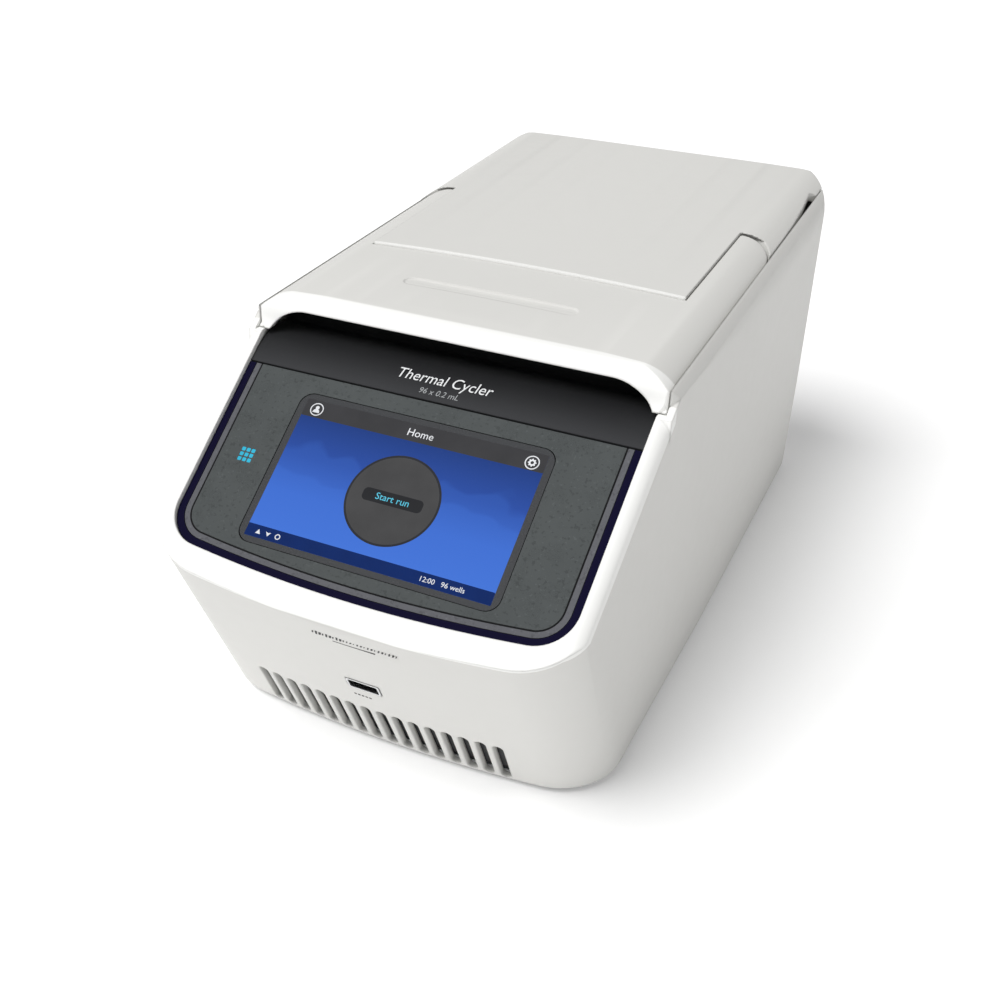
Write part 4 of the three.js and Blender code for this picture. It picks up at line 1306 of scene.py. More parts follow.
@dataclass
class Housing:
    """The white housing with its rim, vents and sockets. Sizes are in millimetres."""

    shop: Builder
    wall: float = 3.0
    bay_half: float = 92.3
    bay_front_y: float = -99.4
    bay_corner: float = 2.6
    bay_floor_z: float = 137.0
    ledge_z: float = 160.2
    vent_count: int = 16
    vent_pitch: float = 7.44
    vent_x: float = -1.0
    vent_width: float = 4.9
    vent_top_z: float = 31.6
    vent_foot_z: float = 4.9
    ledge_half: float = 88.7
    ledge_rear_y: float = -94.0
    rear_window: tuple[float, float, float, float] = (-78.0, 78.0, 14.0, 118.0)
    usb_x: float = 0.6
    usb_z: float = 51.2

    def build(self) -> None:
        """Builds the housing's visible pieces."""
        self.shell()
        self.usb_port()
        self.front_print()

    def usb_frame(self) -> Matrix:
        """A frame on the leaning front at the socket: across, out of the wall and up it.

        Returns:
            The frame.
        """
        form = self.shop.form
        y = form.front_foot_y - (self.usb_z - form.base_z) * math.tan(math.radians(form.lean))
        turn = Matrix.Rotation(math.radians(form.lean), 4, "X")
        return Matrix.Translation((self.usb_x * MM, y * MM, self.usb_z * MM)) @ turn

    def on_front(self, name: str, outline: Iterable[Point], deep: float, out: float) -> bpy.types.Object:
        """An outline in (x, up) on the leaning front, from so deep in it to so far out of it.

        Args:
            name: the object's name.
            outline: the outline.
            deep: how far in it starts.
            out: how far out it ends.

        Returns:
            The object.
        """
        piece = Shop.prism(name, outline, -out, deep, ALONG_Y)
        piece.data.transform(self.usb_frame())
        return piece

    def bay(self) -> bpy.types.Object:
        """The room between the side rails.

        Returns:
            The object.
        """
        form = self.shop.form
        outline = rounded_box(-self.bay_half, self.bay_half, self.bay_front_y, form.rear_y + 30, self.bay_corner, 12)
        bay = Shop.prism("bay", outline, self.bay_floor_z, form.top_z + 5)
        for side in (-1, 1):
            x0, x1 = sorted((side * self.ledge_half, side * (self.bay_half + 2.7)))
            front, low = self.bay_front_y - 3, self.bay_floor_z - 5
            ledge = Shop.box("ledge", x0, x1, front, self.ledge_rear_y, low, self.ledge_z)
            Shop.combine(bay, "DIFFERENCE", ledge)
        return bay

    def shell(self) -> None:
        """The moulded shell."""
        form = self.shop.form
        shell = form.solid(0.0)
        cavity = form.solid(self.wall)
        for side in (-1, 1):
            x0, x1 = (-100, -self.bay_half) if side < 0 else (self.bay_half, 100)
            rail = Shop.box("rail", x0, x1, self.bay_front_y + 4, form.rear_y + 5, 122, form.top_z + 5)
            Shop.combine(cavity, "DIFFERENCE", rail)
        slots = []
        for i in range(self.vent_count):
            x = self.vent_x + (i - (self.vent_count - 1) / 2) * self.vent_pitch
            half = self.vent_width / 2
            outline = rounded_box(x - half, x + half, self.vent_foot_z, self.vent_top_z, half - 0.1, 6)
            slots.append(Shop.prism("slot", outline, -178, -134, ALONG_Y))
        rear = Shop.prism("rear", rounded_box(*self.rear_window, 5), 180, 200, ALONG_Y)
        usb = self.on_front("usb", rounded_box(-7.9, 7.9, -4.1, 4.1, 0.8, 4), 12, 10)
        opening = form.on_panel("opening", form.opening(0.0), -16, 24)
        Shop.combine(shell, "DIFFERENCE", cavity, self.bay(), opening, Shop.join("slots", slots), usb, rear)
        self.shop.done(shell, "white_shell_body", BODY_WHITE, Body.HOUSING, Slot.WHITE_SHELL, ["body_shell"])

    def usb_port(self) -> None:
        """The front socket: a bright sleeve and a black tongue."""
        sleeve = self.on_front("sleeve", rounded_box(-7.5, 7.5, -3.7, 3.7, 0.9, 5), 11.5, 0.25)
        Shop.combine(sleeve, "DIFFERENCE", self.on_front("mouth", rounded_box(-6.7, 6.7, -2.9, 2.9, 0.6, 4), 10, 4))
        self.shop.done(sleeve, "usb_sleeve", BRIGHT_STEEL, Body.HOUSING, Slot.STEEL, ["front_usb_port"])
        tongue = self.on_front("tongue", rounded_box(-5.7, 5.7, 0.4, 2.4, 0.4, 4), 10.2, -1.2)
        self.shop.done(tongue, "usb_tongue", BLACK, Body.HOUSING, Slot.DARK_PLASTIC)
        liner = self.on_front("liner", rounded_box(-6.65, 6.65, -2.85, 2.85, 0.5, 4), 10.3, -9.4)
        self.shop.done(liner, "usb_liner", BLACK, Body.HOUSING, Slot.DARK_PLASTIC)

    def front_print(self) -> None:
        """A plain printed mark on the front: a row of dashes over a line, and a dash row under the socket."""
        marks = []
        for i in range(25):
            x, tall = -13.2 + 1.52 * i, (0.95 if i < 10 else 0.5) * (1.0 + 0.25 * ((i * 5) % 3 - 1))
            width = (1.25 if i < 10 else 0.95) + 0.25 * ((i * 7) % 3 - 1)
            slant = [(x, 38.4 - tall), (x + width * 0.6, 38.4 - tall), (x + width, 38.4 + tall), (x + 0.4, 38.4 + tall)]
            marks.append(self.on_front("dash", slant, 0.4, 0.05))
        for i in range(5):
            x = -6.8 + 1.75 * i
            marks.append(self.on_front("dash", rounded_box(x, x + 1.15, -10.4, -9.4, 0.2, 3), 0.4, 0.05))
        marks.append(self.on_front("line", rounded_box(-4.6, 14.0, 35.2, 35.65, 0.2, 3), 0.4, 0.05))
        self.shop.done(Shop.join("marks", marks), "front_marks", FRONT_PRINT, Body.HOUSING, Slot.DARK_PLASTIC)


# --------------------------------------------------------------------------------------------------- panel


@dataclass
class ControlPanel:
    """The sloped panel: gasket, overlay, display and status light. Sizes are in millimetres."""

    shop: Builder
    head: float = 43.1
    strip_inset: float = 3.7
    line_inset: float = 6.4
    display_half_x: float = 57.0
    display_half_v: float = 35.0
    picture_half_x: float = 54.0
    picture_half_v: float = 32.4
    groove_half: float = 0.36
    layer_mm: float = 0.02
    first_layer: float = -0.13
    lamp_x: float = -69.3
    lamp_v: float = 0.8
    lamp_pitch: float = 2.3

    def build(self) -> None:
        """Builds the panel's pieces."""
        self.gasket()
        self.overlay()
        self.display()
        self.home_screen()

    def ring(self, outer: float, inner: float, low: float, high: float) -> bpy.types.Object:
        """A band that follows the opening's outline between two insets.

        Args:
            outer: the outer inset or radius.
            inner: the inner inset or radius.
            low: where it starts.
            high: where it ends.

        Returns:
            The object.
        """
        form = self.shop.form
        band = form.on_panel("band", form.opening(outer, self.head), low, high)
        return Shop.combine(band, "DIFFERENCE", form.on_panel("hole", form.opening(inner, self.head + 6), -30, 30))

    def gasket(self) -> None:
        """The navy trim between the rim and the overlay."""
        gasket = self.ring(0.3, 3.4, -4.0, 0.1)
        self.shop.done(gasket, "navy_gasket", NAVY, Body.HOUSING, Slot.GASKET_NAVY, ["screen_gasket"])

    def overlay(self) -> None:
        """The grey overlay in two parts, with the dark groove between them."""
        form = self.shop.form
        line, half = self.line_inset, self.groove_half
        strip = self.ring(self.strip_inset, line - half + 0.01, -3.0, 0.0)
        self.shop.done(strip, "panel_edge_strip", GREY_STRIP, Body.HOUSING, Slot.PANEL_GREY)
        groove = self.ring(line - half, line + half, -3.0, -0.25)
        self.shop.done(groove, "panel_groove", BLACK, Body.HOUSING, Slot.DARK_PLASTIC)
        sheet = form.on_panel("sheet", form.opening(line + half, self.head), -3.0, 0.0)
        x, v = self.display_half_x + 0.3, self.display_half_v + 0.3
        window = form.on_panel("window", rounded_box(-x, x, -v, v, 6.0, 8), -10, 5)
        lamp_x, lamp_v = self.lamp_x, self.lamp_v
        pocket = rounded_box(lamp_x - 5, lamp_x + 5, lamp_v - 5, lamp_v + 5, 1.2, 4)
        lamp = form.on_panel("lamp", pocket, -10, -1.0)
        holes = [form.on_panel("hole", rounded_box(*spot, 0.4, 3), -10, 5) for spot in self.lamp_spots(0.9)]
        Shop.combine(sheet, "DIFFERENCE", window, lamp, Shop.join("holes", holes))
        lights = [form.on_panel("light", rounded_box(*spot, 0.3, 3), -2.6, 0.02) for spot in self.lamp_spots(0.82)]
        self.shop.done(Shop.join("lights", lights), "status_lamp", CYAN, Body.HOUSING, Slot.LIGHT_GUIDE,
                       ["status_light"])
        self.shop.done(sheet, "panel_overlay", GREY_FILM, Body.HOUSING, Slot.PANEL_GREY, ["control_panel"])

    def lamp_spots(self, half: float) -> list[tuple[float, float, float, float]]:
        """The nine squares of the status light.

        Args:
            half: half of its width.

        Returns:
            The left, right, foot and head of each.
        """
        spots = []
        for i in (-1, 0, 1):
            for j in (-1, 0, 1):
                x, v = self.lamp_x + self.lamp_pitch * i, self.lamp_v + self.lamp_pitch * j
                spots.append((x - half, x + half, v - half, v + half))
        return spots

    def display(self) -> None:
        """The display's black bezel with its lit picture."""
        form = self.shop.form
        x, v = self.display_half_x, self.display_half_v
        bezel = form.on_panel("bezel", rounded_box(-x, x, -v, v, 6.0, 10), -7, -0.15)
        bezel_finish = Moulded("display_bezel", (0.05, 0.052, 0.056), roughness=0.25, mottle=0.03, grain_mm=0.001,
                               edge_mm=0.3)
        self.shop.done(bezel, "display_bezel", bezel_finish, Body.HOUSING, Slot.DISPLAY_GLASS, ["touch_display"])
        px, pv = self.picture_half_x, self.picture_half_v
        picture = form.on_panel("picture", rounded_box(-px, px, -pv, pv, 0.5, 3), -0.6, -0.12)
        middle = form.panel.translation
        sky = Sky("display_sky", math.radians(form.slope), middle, pv * MM, 1.0)
        self.shop.done(picture, "display_picture", sky, Body.HOUSING, Slot.DISPLAY_GLASS)

    def flat(self, name: str, outline: Iterable[Point], layer: int, finish: Any) -> None:
        """One flat shape of the home screen, on its own layer.

        Args:
            name: the object's name.
            outline: the outline.
            layer: the layer that it lies on.
            finish: the finish.
        """
        low = self.first_layer + self.layer_mm * layer
        piece = self.shop.form.on_panel(name, outline, low, low + self.layer_mm)
        self.shop.done(piece, name, finish, Body.HOUSING, Slot.DISPLAY_GLASS, smooth=None)

    def words(self, name: str, words: str, x: float, v: float, height: float, layer: int, finish: Any) -> None:
        """A line of lettering on the home screen.

        Args:
            name: the object's name.
            words: what it says.
            x: its place across.
            v: its place up the slope.
            height: the height of its capitals.
            layer: the layer that it lies on.
            finish: the finish.
        """
        text = Shop.lettering(name, words, height, self.layer_mm)
        middle = self.first_layer + self.layer_mm * (layer + 0.5)
        text.data.transform(Matrix.Translation((x * MM, v * MM, middle * MM)))
        text.data.transform(self.shop.form.panel)
        self.shop.done(text, name, finish, Body.HOUSING, Slot.DISPLAY_GLASS, smooth=None)

    def home_screen(self) -> None:
        """A plain home screen: bars, a round start button, icons and a clock."""
        px, pv = self.picture_half_x, self.picture_half_v
        header = Lit("screen_header", (0.052, 0.052, 0.056), 1.0)
        footer = Lit("screen_footer", (0.006, 0.024, 0.13), 1.0)
        button = Lit("screen_button", (0.07, 0.07, 0.072), 1.0)
        edge = Lit("screen_button_edge", (0.032, 0.034, 0.04), 1.0)
        band = Lit("screen_band", (0.026, 0.027, 0.03), 1.0)
        white = Lit("screen_white", (0.85, 0.87, 0.9), 1.0)
        cyan = Lit("screen_cyan", (0.12, 0.62, 0.82), 1.0)
        self.flat("screen_header", rounded_box(-px, px, 24.5, pv, 0.4, 3), 1, header)
        self.flat("screen_footer", rounded_box(-px, px, -pv, -27.0, 0.4, 3), 1, footer)
        self.flat("screen_button", circle((0.2, -2.2), 20.0, 96), 1, button)
        self.outline_ring("screen_button_edge", (0.2, -2.2), 20.0, 19.1, 2, edge)
        self.flat("screen_band", rounded_box(-13.0, 13.4, -4.8, 0.8, 2.0, 6), 2, band)
        self.words("screen_title", "Home", 0.0, 28.2, 3.4, 2, white)
        self.words("screen_start", "Start run", 0.2, -2.0, 3.0, 3, cyan)
        self.words("screen_clock", "12:00   96 wells", 33.0, -29.8, 2.2, 2, white)
        self.person_icon(white)
        self.gear_icon(white)
        for i, x in enumerate((-48.4, -43.9, -39.4)):
            self.status_icon(i, x, white)

    def outline_ring(self, name: str, centre: Point, outer: float, inner: float, layer: int, finish: Any) -> None:
        """A flat ring on the home screen.

        Args:
            name: the object's name.
            centre: its centre.
            outer: the outer inset or radius.
            inner: the inner inset or radius.
            layer: the layer that it lies on.
            finish: the finish.
        """
        form = self.shop.form
        low = self.first_layer + self.layer_mm * layer
        ring = form.on_panel(name, circle(centre, outer, 48), low, low + self.layer_mm)
        Shop.combine(ring, "DIFFERENCE", form.on_panel("hole", circle(centre, inner, 48), -3, 3))
        self.shop.done(ring, name, finish, Body.HOUSING, Slot.DISPLAY_GLASS, smooth=None)

    def person_icon(self, finish: Any) -> None:
        """A head and shoulders in a ring.

        Args:
            finish: its finish.
        """
        x, v = -48.2, 28.3
        self.outline_ring("icon_user_ring", (x, v), 3.0, 2.55, 2, finish)
        self.flat("icon_user_head", circle((x, v + 0.8), 0.85, 24), 2, finish)
        shoulders = [(x - 1.6, v - 1.5), *arc((x, v - 1.3), 1.5, 180, 0, 12), (x + 1.6, v - 1.5)]
        self.flat("icon_user_shoulders", shoulders[::-1], 2, finish)

    def gear_icon(self, finish: Any) -> None:
        """A settings wheel in a ring.

        Args:
            finish: the finish.
        """
        x, v = 48.4, 27.9
        self.outline_ring("icon_settings_ring", (x, v), 3.0, 2.55, 2, finish)
        teeth = []
        for i in range(32):
            radius = 1.75 if i % 4 < 2 else 1.35
            turn = 2 * math.pi * i / 32
            teeth.append((x + radius * math.cos(turn), v + radius * math.sin(turn)))
        form = self.shop.form
        wheel = form.on_panel("wheel", teeth, -0.09, -0.07)
        Shop.combine(wheel, "DIFFERENCE", form.on_panel("hole", circle((x, v), 0.7, 24), -3, 3))
        self.shop.done(wheel, "icon_settings_wheel", finish, Body.HOUSING, Slot.DISPLAY_GLASS, smooth=None)

    def status_icon(self, kind: int, x: float, finish: Any) -> None:
        """One of three small icons of the footer.

        Args:
            kind: which of the three it is.
            x: its place across.
            finish: the finish.
        """
        v = -29.8
        if kind == 0:
            self.flat("icon_alert", [(x - 1.1, v - 0.9), (x + 1.1, v - 0.9), (x, v + 1.1)], 2, finish)
        elif kind == 1:
            self.flat("icon_signal", [(x - 1.2, v + 0.9), (x, v - 1.0), (x + 1.2, v + 0.9), (x, v + 0.5)][::-1], 2,
                      finish)
        else:
            self.outline_ring("icon_timer", (x, v), 1.2, 0.8, 2, finish)


# --------------------------------------------------------------------------------------------------- visor


@dataclass
class Visor:
    """The dark scooped strip between the panel and the lid's lip. Sizes are in millimetres."""

    shop: Builder
    start: float = 44.0
    thick: float = 2.4
    crest_y: float = -94.5
    half: float = 88.4

    def build(self) -> None:
        """Builds the strip and its lettering."""
        form = self.shop.form
        slope = math.radians(form.slope)
        y0 = form.panel_y + self.start * math.cos(slope)
        z0 = form.panel_z + self.start * math.sin(slope)
        z1 = z0 + (self.crest_y - y0) * math.tan(slope)
        under_y = y0 + self.thick * math.sin(slope)
        outline = [
            (y0, z0), (under_y, z0 - self.thick * math.cos(slope) - 1), (self.crest_y + 1.5, z1 - self.thick - 1.6),
            *curve((self.crest_y + 1.5, z1 - self.thick - 1.6), (-88, 154.6), (-80, 154.6), 10),
            (-71.2, 154.6), (-71.2, 163), (-73.2, 163),
            *curve((-73.2, 163), (-74, 157.6), (-79, 158.2), 10),
            *curve((-79, 158.2), (-91, z1 + 1.2), (self.crest_y - 8, z1 - 8 * math.tan(slope)), 20),
        ]
        strip = Shop.prism("strip", outline, -self.half, self.half, ALONG_X)
        self.shop.done(strip, "visor_strip", VISOR_GREY, Body.HOUSING, Slot.DARK_PLASTIC, ["visor"], smooth=40.0)
        self.lettering()

    def lettering(self) -> None:
        """What the instrument is, in plain words."""
        large = Moulded("visor_print", (0.78, 0.79, 0.8), roughness=0.5, mottle=0.02, edge_mm=0.1)
        small = Moulded("visor_small_print", (0.36, 0.37, 0.38), roughness=0.5, mottle=0.02, edge_mm=0.1)
        for name, words, v, height, finish in (
            ("visor_title", "Thermal Cycler", 53.6, 4.9, large),
            ("visor_note", "96 x 0.2 mL", 47.7, 2.7, small),
        ):
            text = Shop.lettering(name, words, height, 0.08, 0.22)
            text.data.transform(Matrix.Translation((0.0, v * MM, 0.03 * MM)))
            text.data.transform(self.shop.form.panel)
            self.shop.done(text, name, finish, Body.HOUSING, Slot.DARK_PLASTIC, smooth=None)


# ----------------------------------------------------------------------------------------------------- lid


@dataclass
class Lid:
    """The lid's rear shell and its front lever. Sizes are in millimetres."""

    shop: Builder
    half: float = 91.7
    foot_z: float = 140.5
    skin: float = 3.2
    lever_drop: float = 1.0
    lever_skin: float = 3.5
    seam: float = 0.6
    seam_y: float = -20.4
    arm_inner: float = 75.4
    arm_rear_y: float = 69.5
    arm_corner: float = 14.0
    lever_front_y: float = -98.8
    lever_corner: float = 2.0
    pivot_y: float = 56.0
    pivot_z: float = 164.5
    hinge_y: float = 170.0
    hinge_z: float = 164.0
    hinge_bore: float = 3.3
    pivot_bore: float = 2.3
    seam_sweep: float = 77.15
    grip_half: float = 89.3
    grip_top_z: float = 170.6
    grip_radius: float = 20.5
    skirt_inner: float = 88.9
    skirt_foot_z: float = 160.5
    dimple_half: float = 40.5
    dimple_front_y: float = -60.6
    dimple_rear_y: float = -52.4
    dimple_floor_z: float = 177.25

    def build(self) -> None:
        """Builds both shells."""
        self.rear_shell()
        self.lever()

    def lever_plan(self, gap: float) -> list[Point]:
        """The lever from above: a band across the front with an arm down each side.

        Args:
            gap: how much bigger it is drawn.

        Returns:
            The points.
        """
        seam = self.seam_y - self.seam / 2 + gap
        inner = self.arm_inner + self.seam / 2 - gap
        rear = self.arm_rear_y - self.seam / 2 + gap
        outer, corner = self.half + gap, self.arm_corner
        front, nose = self.lever_front_y - gap, self.lever_corner + gap
        bend = [(inner + 1, rear)]
        return [
            *arc((outer - nose, front + nose), nose, 270, 360, 12),
            (outer, rear - corner),
            *curve((outer, rear - corner), (outer, rear), bend[0], 14),
            (inner, rear - 1), (inner, seam), (-inner, seam), (-inner, rear - 1), (-inner - 1, rear),
            *curve((-inner - 1, rear), (-outer, rear), (-outer, rear - corner), 14),
            *arc((-outer + nose, front + nose), nose, 180, 270, 12),
        ]

    def about_pivot(self, piece: bpy.types.Object, degrees: float) -> bpy.types.Object:
        """Turns a solid about the lever's pivot.

        Args:
            piece: the piece.
            degrees: the turn.

        Returns:
            The object.
        """
        to = Matrix.Translation((0.0, self.pivot_y * MM, self.pivot_z * MM))
        piece.data.transform(to @ Matrix.Rotation(math.radians(degrees), 4, "X") @ to.inverted())
        return piece

    def rear_shell(self) -> None:
        """The lid's centre and rear, with its side edges drawn in at the rear corners."""
        form = self.shop.form
        shell = form.solid(0.0)
        half = self.half
        edge = [(half, 92), (half - 0.3, 115), (half - 1.2, 138), (half - 2.2, 151), (half - 2.6, 157.5),
                (half - 1.4, 161), (half + 0.15, 163.5), (half + 0.15, form.rear_y + 5)]
        plan = [(self.half, self.seam_y + self.seam / 2), *edge]
        plan += [(-x, y) for x, y in reversed(plan)]
        Shop.combine(shell, "INTERSECT", Shop.prism("region", plan, self.foot_z, form.top_z + 5))
        Shop.combine(shell, "DIFFERENCE", form.solid(self.skin))
        for side in (-1, 1):
            lug = self.lug(side)
            Shop.combine(shell, "UNION", lug)
        bore = Shop.prism("bore", circle((self.hinge_y, self.hinge_z), self.hinge_bore, 32), -90, 90, ALONG_X)
        Shop.combine(shell, "DIFFERENCE", bore)
        Shop.combine(shell, "DIFFERENCE", Shop.prism("plan", self.lever_plan(self.seam), 150, form.top_z + 5))
        for turn in (3, 6, 9, 12, 15):
            rear = Shop.prism("arms", self.lever_plan(self.seam), 158, form.top_z - 1)
            Shop.combine(rear, "INTERSECT", Shop.box("room", -95, 95, 40, 80, 140, form.top_z))
            Shop.combine(shell, "DIFFERENCE", self.about_pivot(rear, -turn))
        round_edge = Shop.prism("sweep", circle((self.pivot_y, self.pivot_z), self.seam_sweep, 160), -200, 200, ALONG_X)
        front = Shop.box("front", -100, 100, -40, 0, 100, 200)
        Shop.combine(front, "DIFFERENCE", round_edge)
        Shop.combine(shell, "DIFFERENCE", front)
        self.shop.done(shell, "white_lid_shell", LID_WHITE, Body.LID, Slot.WHITE_SHELL, ["lid_shell"])

    def lug(self, side: int) -> bpy.types.Object:
        """One hinge lug inside the lid.

        Args:
            side: -1 on the left, and 1 on the right.

        Returns:
            The object.
        """
        form = self.shop.form
        y, z, top = self.hinge_y, self.hinge_z, form.top_z - self.skin
        outline = [(y + 7, z), (y + 7, top - 4), (y, top + 0.6), (y - 24, top + 0.6),
                   *arc((y, z), 7.0, 162, 360, 20)]
        x0, x1 = (-68, -62) if side < 0 else (62, 68)
        return Shop.prism("lug", outline, x0, x1, ALONG_X)

    def lever(self) -> None:
        """The lever: a thin crowned skin with side skirts, a lip and a long thumb dimple."""
        form = self.shop.form
        lever = form.solid(self.lever_drop)
        outer = Shop.copy(lever, "outer")
        Shop.combine(lever, "DIFFERENCE", form.solid(self.lever_drop + self.lever_skin))
        inner, foot = self.skirt_inner, self.skirt_foot_z
        skirts = Shop.box("skirt", -self.half, -inner, -86, 62, foot, form.top_z)
        Shop.combine(skirts, "UNION", Shop.box("skirt", inner, self.half, -86, 62, foot, form.top_z))
        Shop.combine(skirts, "INTERSECT", outer)
        Shop.combine(lever, "UNION", skirts)
        Shop.combine(lever, "INTERSECT", Shop.prism("plan", self.lever_plan(0.0), 158, form.top_z + 5))
        mouth = rounded_box(-self.grip_half, self.grip_half, 110, self.grip_top_z, self.grip_radius, 14)
        grip = Shop.prism("grip", mouth, -112, -86, ALONG_Y)
        cheeks = Shop.box("cheeks", -95, 95, -112, -80, 100, foot + 0.1)
        pivot, reach = (self.pivot_y, self.pivot_z), self.arm_inner - 0.2
        sweep = Shop.prism("sweep", circle(pivot, self.seam_sweep + self.seam, 160), -reach, reach, ALONG_X)
        hole = Shop.prism("hole", circle(pivot, self.pivot_bore, 24), -100, 100, ALONG_X)
        Shop.combine(lever, "DIFFERENCE", grip, cheeks, sweep, hole, self.dimple())
        self.shop.done(lever, "white_lid_lever", LEVER_WHITE, Body.LEVER, Slot.WHITE_SHELL, ["lid_lever"])

    def dimple(self) -> bpy.types.Object:
        """The solid that presses the thumb dimple into the lever's top.

        Returns:
            The object.
        """
        outline = rounded_box(-self.dimple_half, self.dimple_half, self.dimple_front_y, self.dimple_rear_y, 4.08, 12)
        tool = Shop.prism("tool", outline, self.dimple_floor_z, 184)
        return Shop.soften(tool, 1.05, 4, 60.0)


# ---------------------------------------------------------------------------------------------- lid inside


@dataclass
class Springs:
    """The coil springs over the heated plate. Sizes are in millimetres."""

    shop: Builder
    radius: float = 3.6
    wire: float = 0.55
    turns: int = 5
    head_z: float = 158.1
    foot_z: float = 149.3
    keep: float = 0.6
    places: tuple[Point, ...] = ((-51, -14), (51, -14), (-51, 54), (51, 54))

    def build(self) -> None:
        """Builds a coil in place of each spring's solid."""
        for i, (x, y) in enumerate(self.places, 1):
            coil = self.coil()
            coil.data.transform(Matrix.Translation((x * MM, y * MM, 0.0)))
            self.shop.done(coil, f"coil_spring_{i}", SPRING_STEEL, Body.LID, Slot.STEEL, [f"platen_spring_{i}"],
                           smooth=60.0)
            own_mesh(coil)

    def coil(self) -> bpy.types.Object:
        """One coil about the Z axis, wound by a screw from a round wire.

        Returns:
            The object.
        """
        bpy.ops.object.select_all(action="DESELECT")
        bpy.ops.mesh.primitive_circle_add(
            vertices=12, radius=self.wire * MM, location=(self.radius * MM, 0, (self.foot_z + self.wire) * MM),
            rotation=(math.pi / 2, 0, 0),
        )
        ring = Shop.settle(bpy.context.object)
        rise = (self.head_z - self.foot_z - 2 * self.wire) / self.turns
        Shop.apply(
            ring, "SCREW", angle=2 * math.pi, screw_offset=rise * MM, iterations=self.turns, steps=28,
            render_steps=28, axis="Z",
        )
        Shop.alone(ring)
        bpy.ops.object.mode_set(mode="EDIT")
        bpy.ops.mesh.select_all(action="SELECT")
        bpy.ops.mesh.remove_doubles(threshold=WELD_M)
        bpy.ops.mesh.select_all(action="DESELECT")
        bpy.ops.mesh.select_non_manifold()
        bpy.ops.mesh.fill_holes(sides=0)
        bpy.ops.object.mode_set(mode="OBJECT")
        return ring


# ------------------------------------------------------------------------------------------------- interior


@dataclass
class SampleBlock:
    """The block with its 96 conical wells. Sizes are in millimetres."""

    shop: Builder
    columns: int = 12
    rows: int = 8
    pitch: float = 9.0
    well_depth: float = 16.0
    mouth: float = 3.1
    bottom: float = 1.3

    def build(self) -> None:
        """Builds the block in place of its solid."""
        low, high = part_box("sample_block")
        x1, y0, y1 = high.x / MM, low.y / MM, high.y / MM
        z0, z1 = low.z / MM, high.z / MM
        block = Shop.prism("block", rounded_box(-x1, x1, y0, y1, 1.6, 6), z0, z1)
        middle = (y0 + y1) / 2
        first = self.well(z1)
        wells = []
        for i in range(self.columns):
            for j in range(self.rows):
                x = (i - (self.columns - 1) / 2) * self.pitch
                y = middle + (j - (self.rows - 1) / 2) * self.pitch
                wells.append(Shop.copy(first, "well", Matrix.Translation((x * MM, y * MM, 0.0))))
        bpy.data.objects.remove(first)
        Shop.combine(block, "DIFFERENCE", Shop.join("wells", wells))
        self.shop.done(block, "well_block", ALUMINIUM, Body.HOUSING, Slot.BLOCK_ALUMINIUM, ["sample_block"])

    def well(self, top: float) -> bpy.types.Object:
        """One well's solid: a cone that stands out of the block's top.

        Args:
            top: the height of the block's top.

        Returns:
            The object.
        """
        bpy.ops.object.select_all(action="DESELECT")
        depth = self.well_depth + 0.6
        bpy.ops.mesh.primitive_cone_add(
            vertices=28, radius1=self.bottom * MM, radius2=self.mouth * MM, depth=depth * MM,
            location=(0, 0, (top + 0.6 - depth / 2) * MM),
        )
        return Shop.settle(bpy.context.object)


@dataclass
class Feet:
    """The four turned rubber feet. Sizes are in millimetres."""

    shop: Builder
    radius: float = 9.0
    height: float = 3.7
    edge: float = 0.9

    def build(self) -> None:
        """Builds each foot in place of its solid."""
        for corner in ("front_left", "front_right", "rear_left", "rear_right"):
            low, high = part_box(f"foot_{corner}")
            centre = (low + high) / 2
            foot = Shop.prism("foot", circle((centre.x / MM, centre.y / MM), self.radius, 48), 0, self.height)
            Shop.soften(foot, self.edge, 4, 60.0)
            self.shop.done(foot, f"rubber_foot_{corner}", RUBBER, Body.HOUSING, Slot.RUBBER, [f"foot_{corner}"])


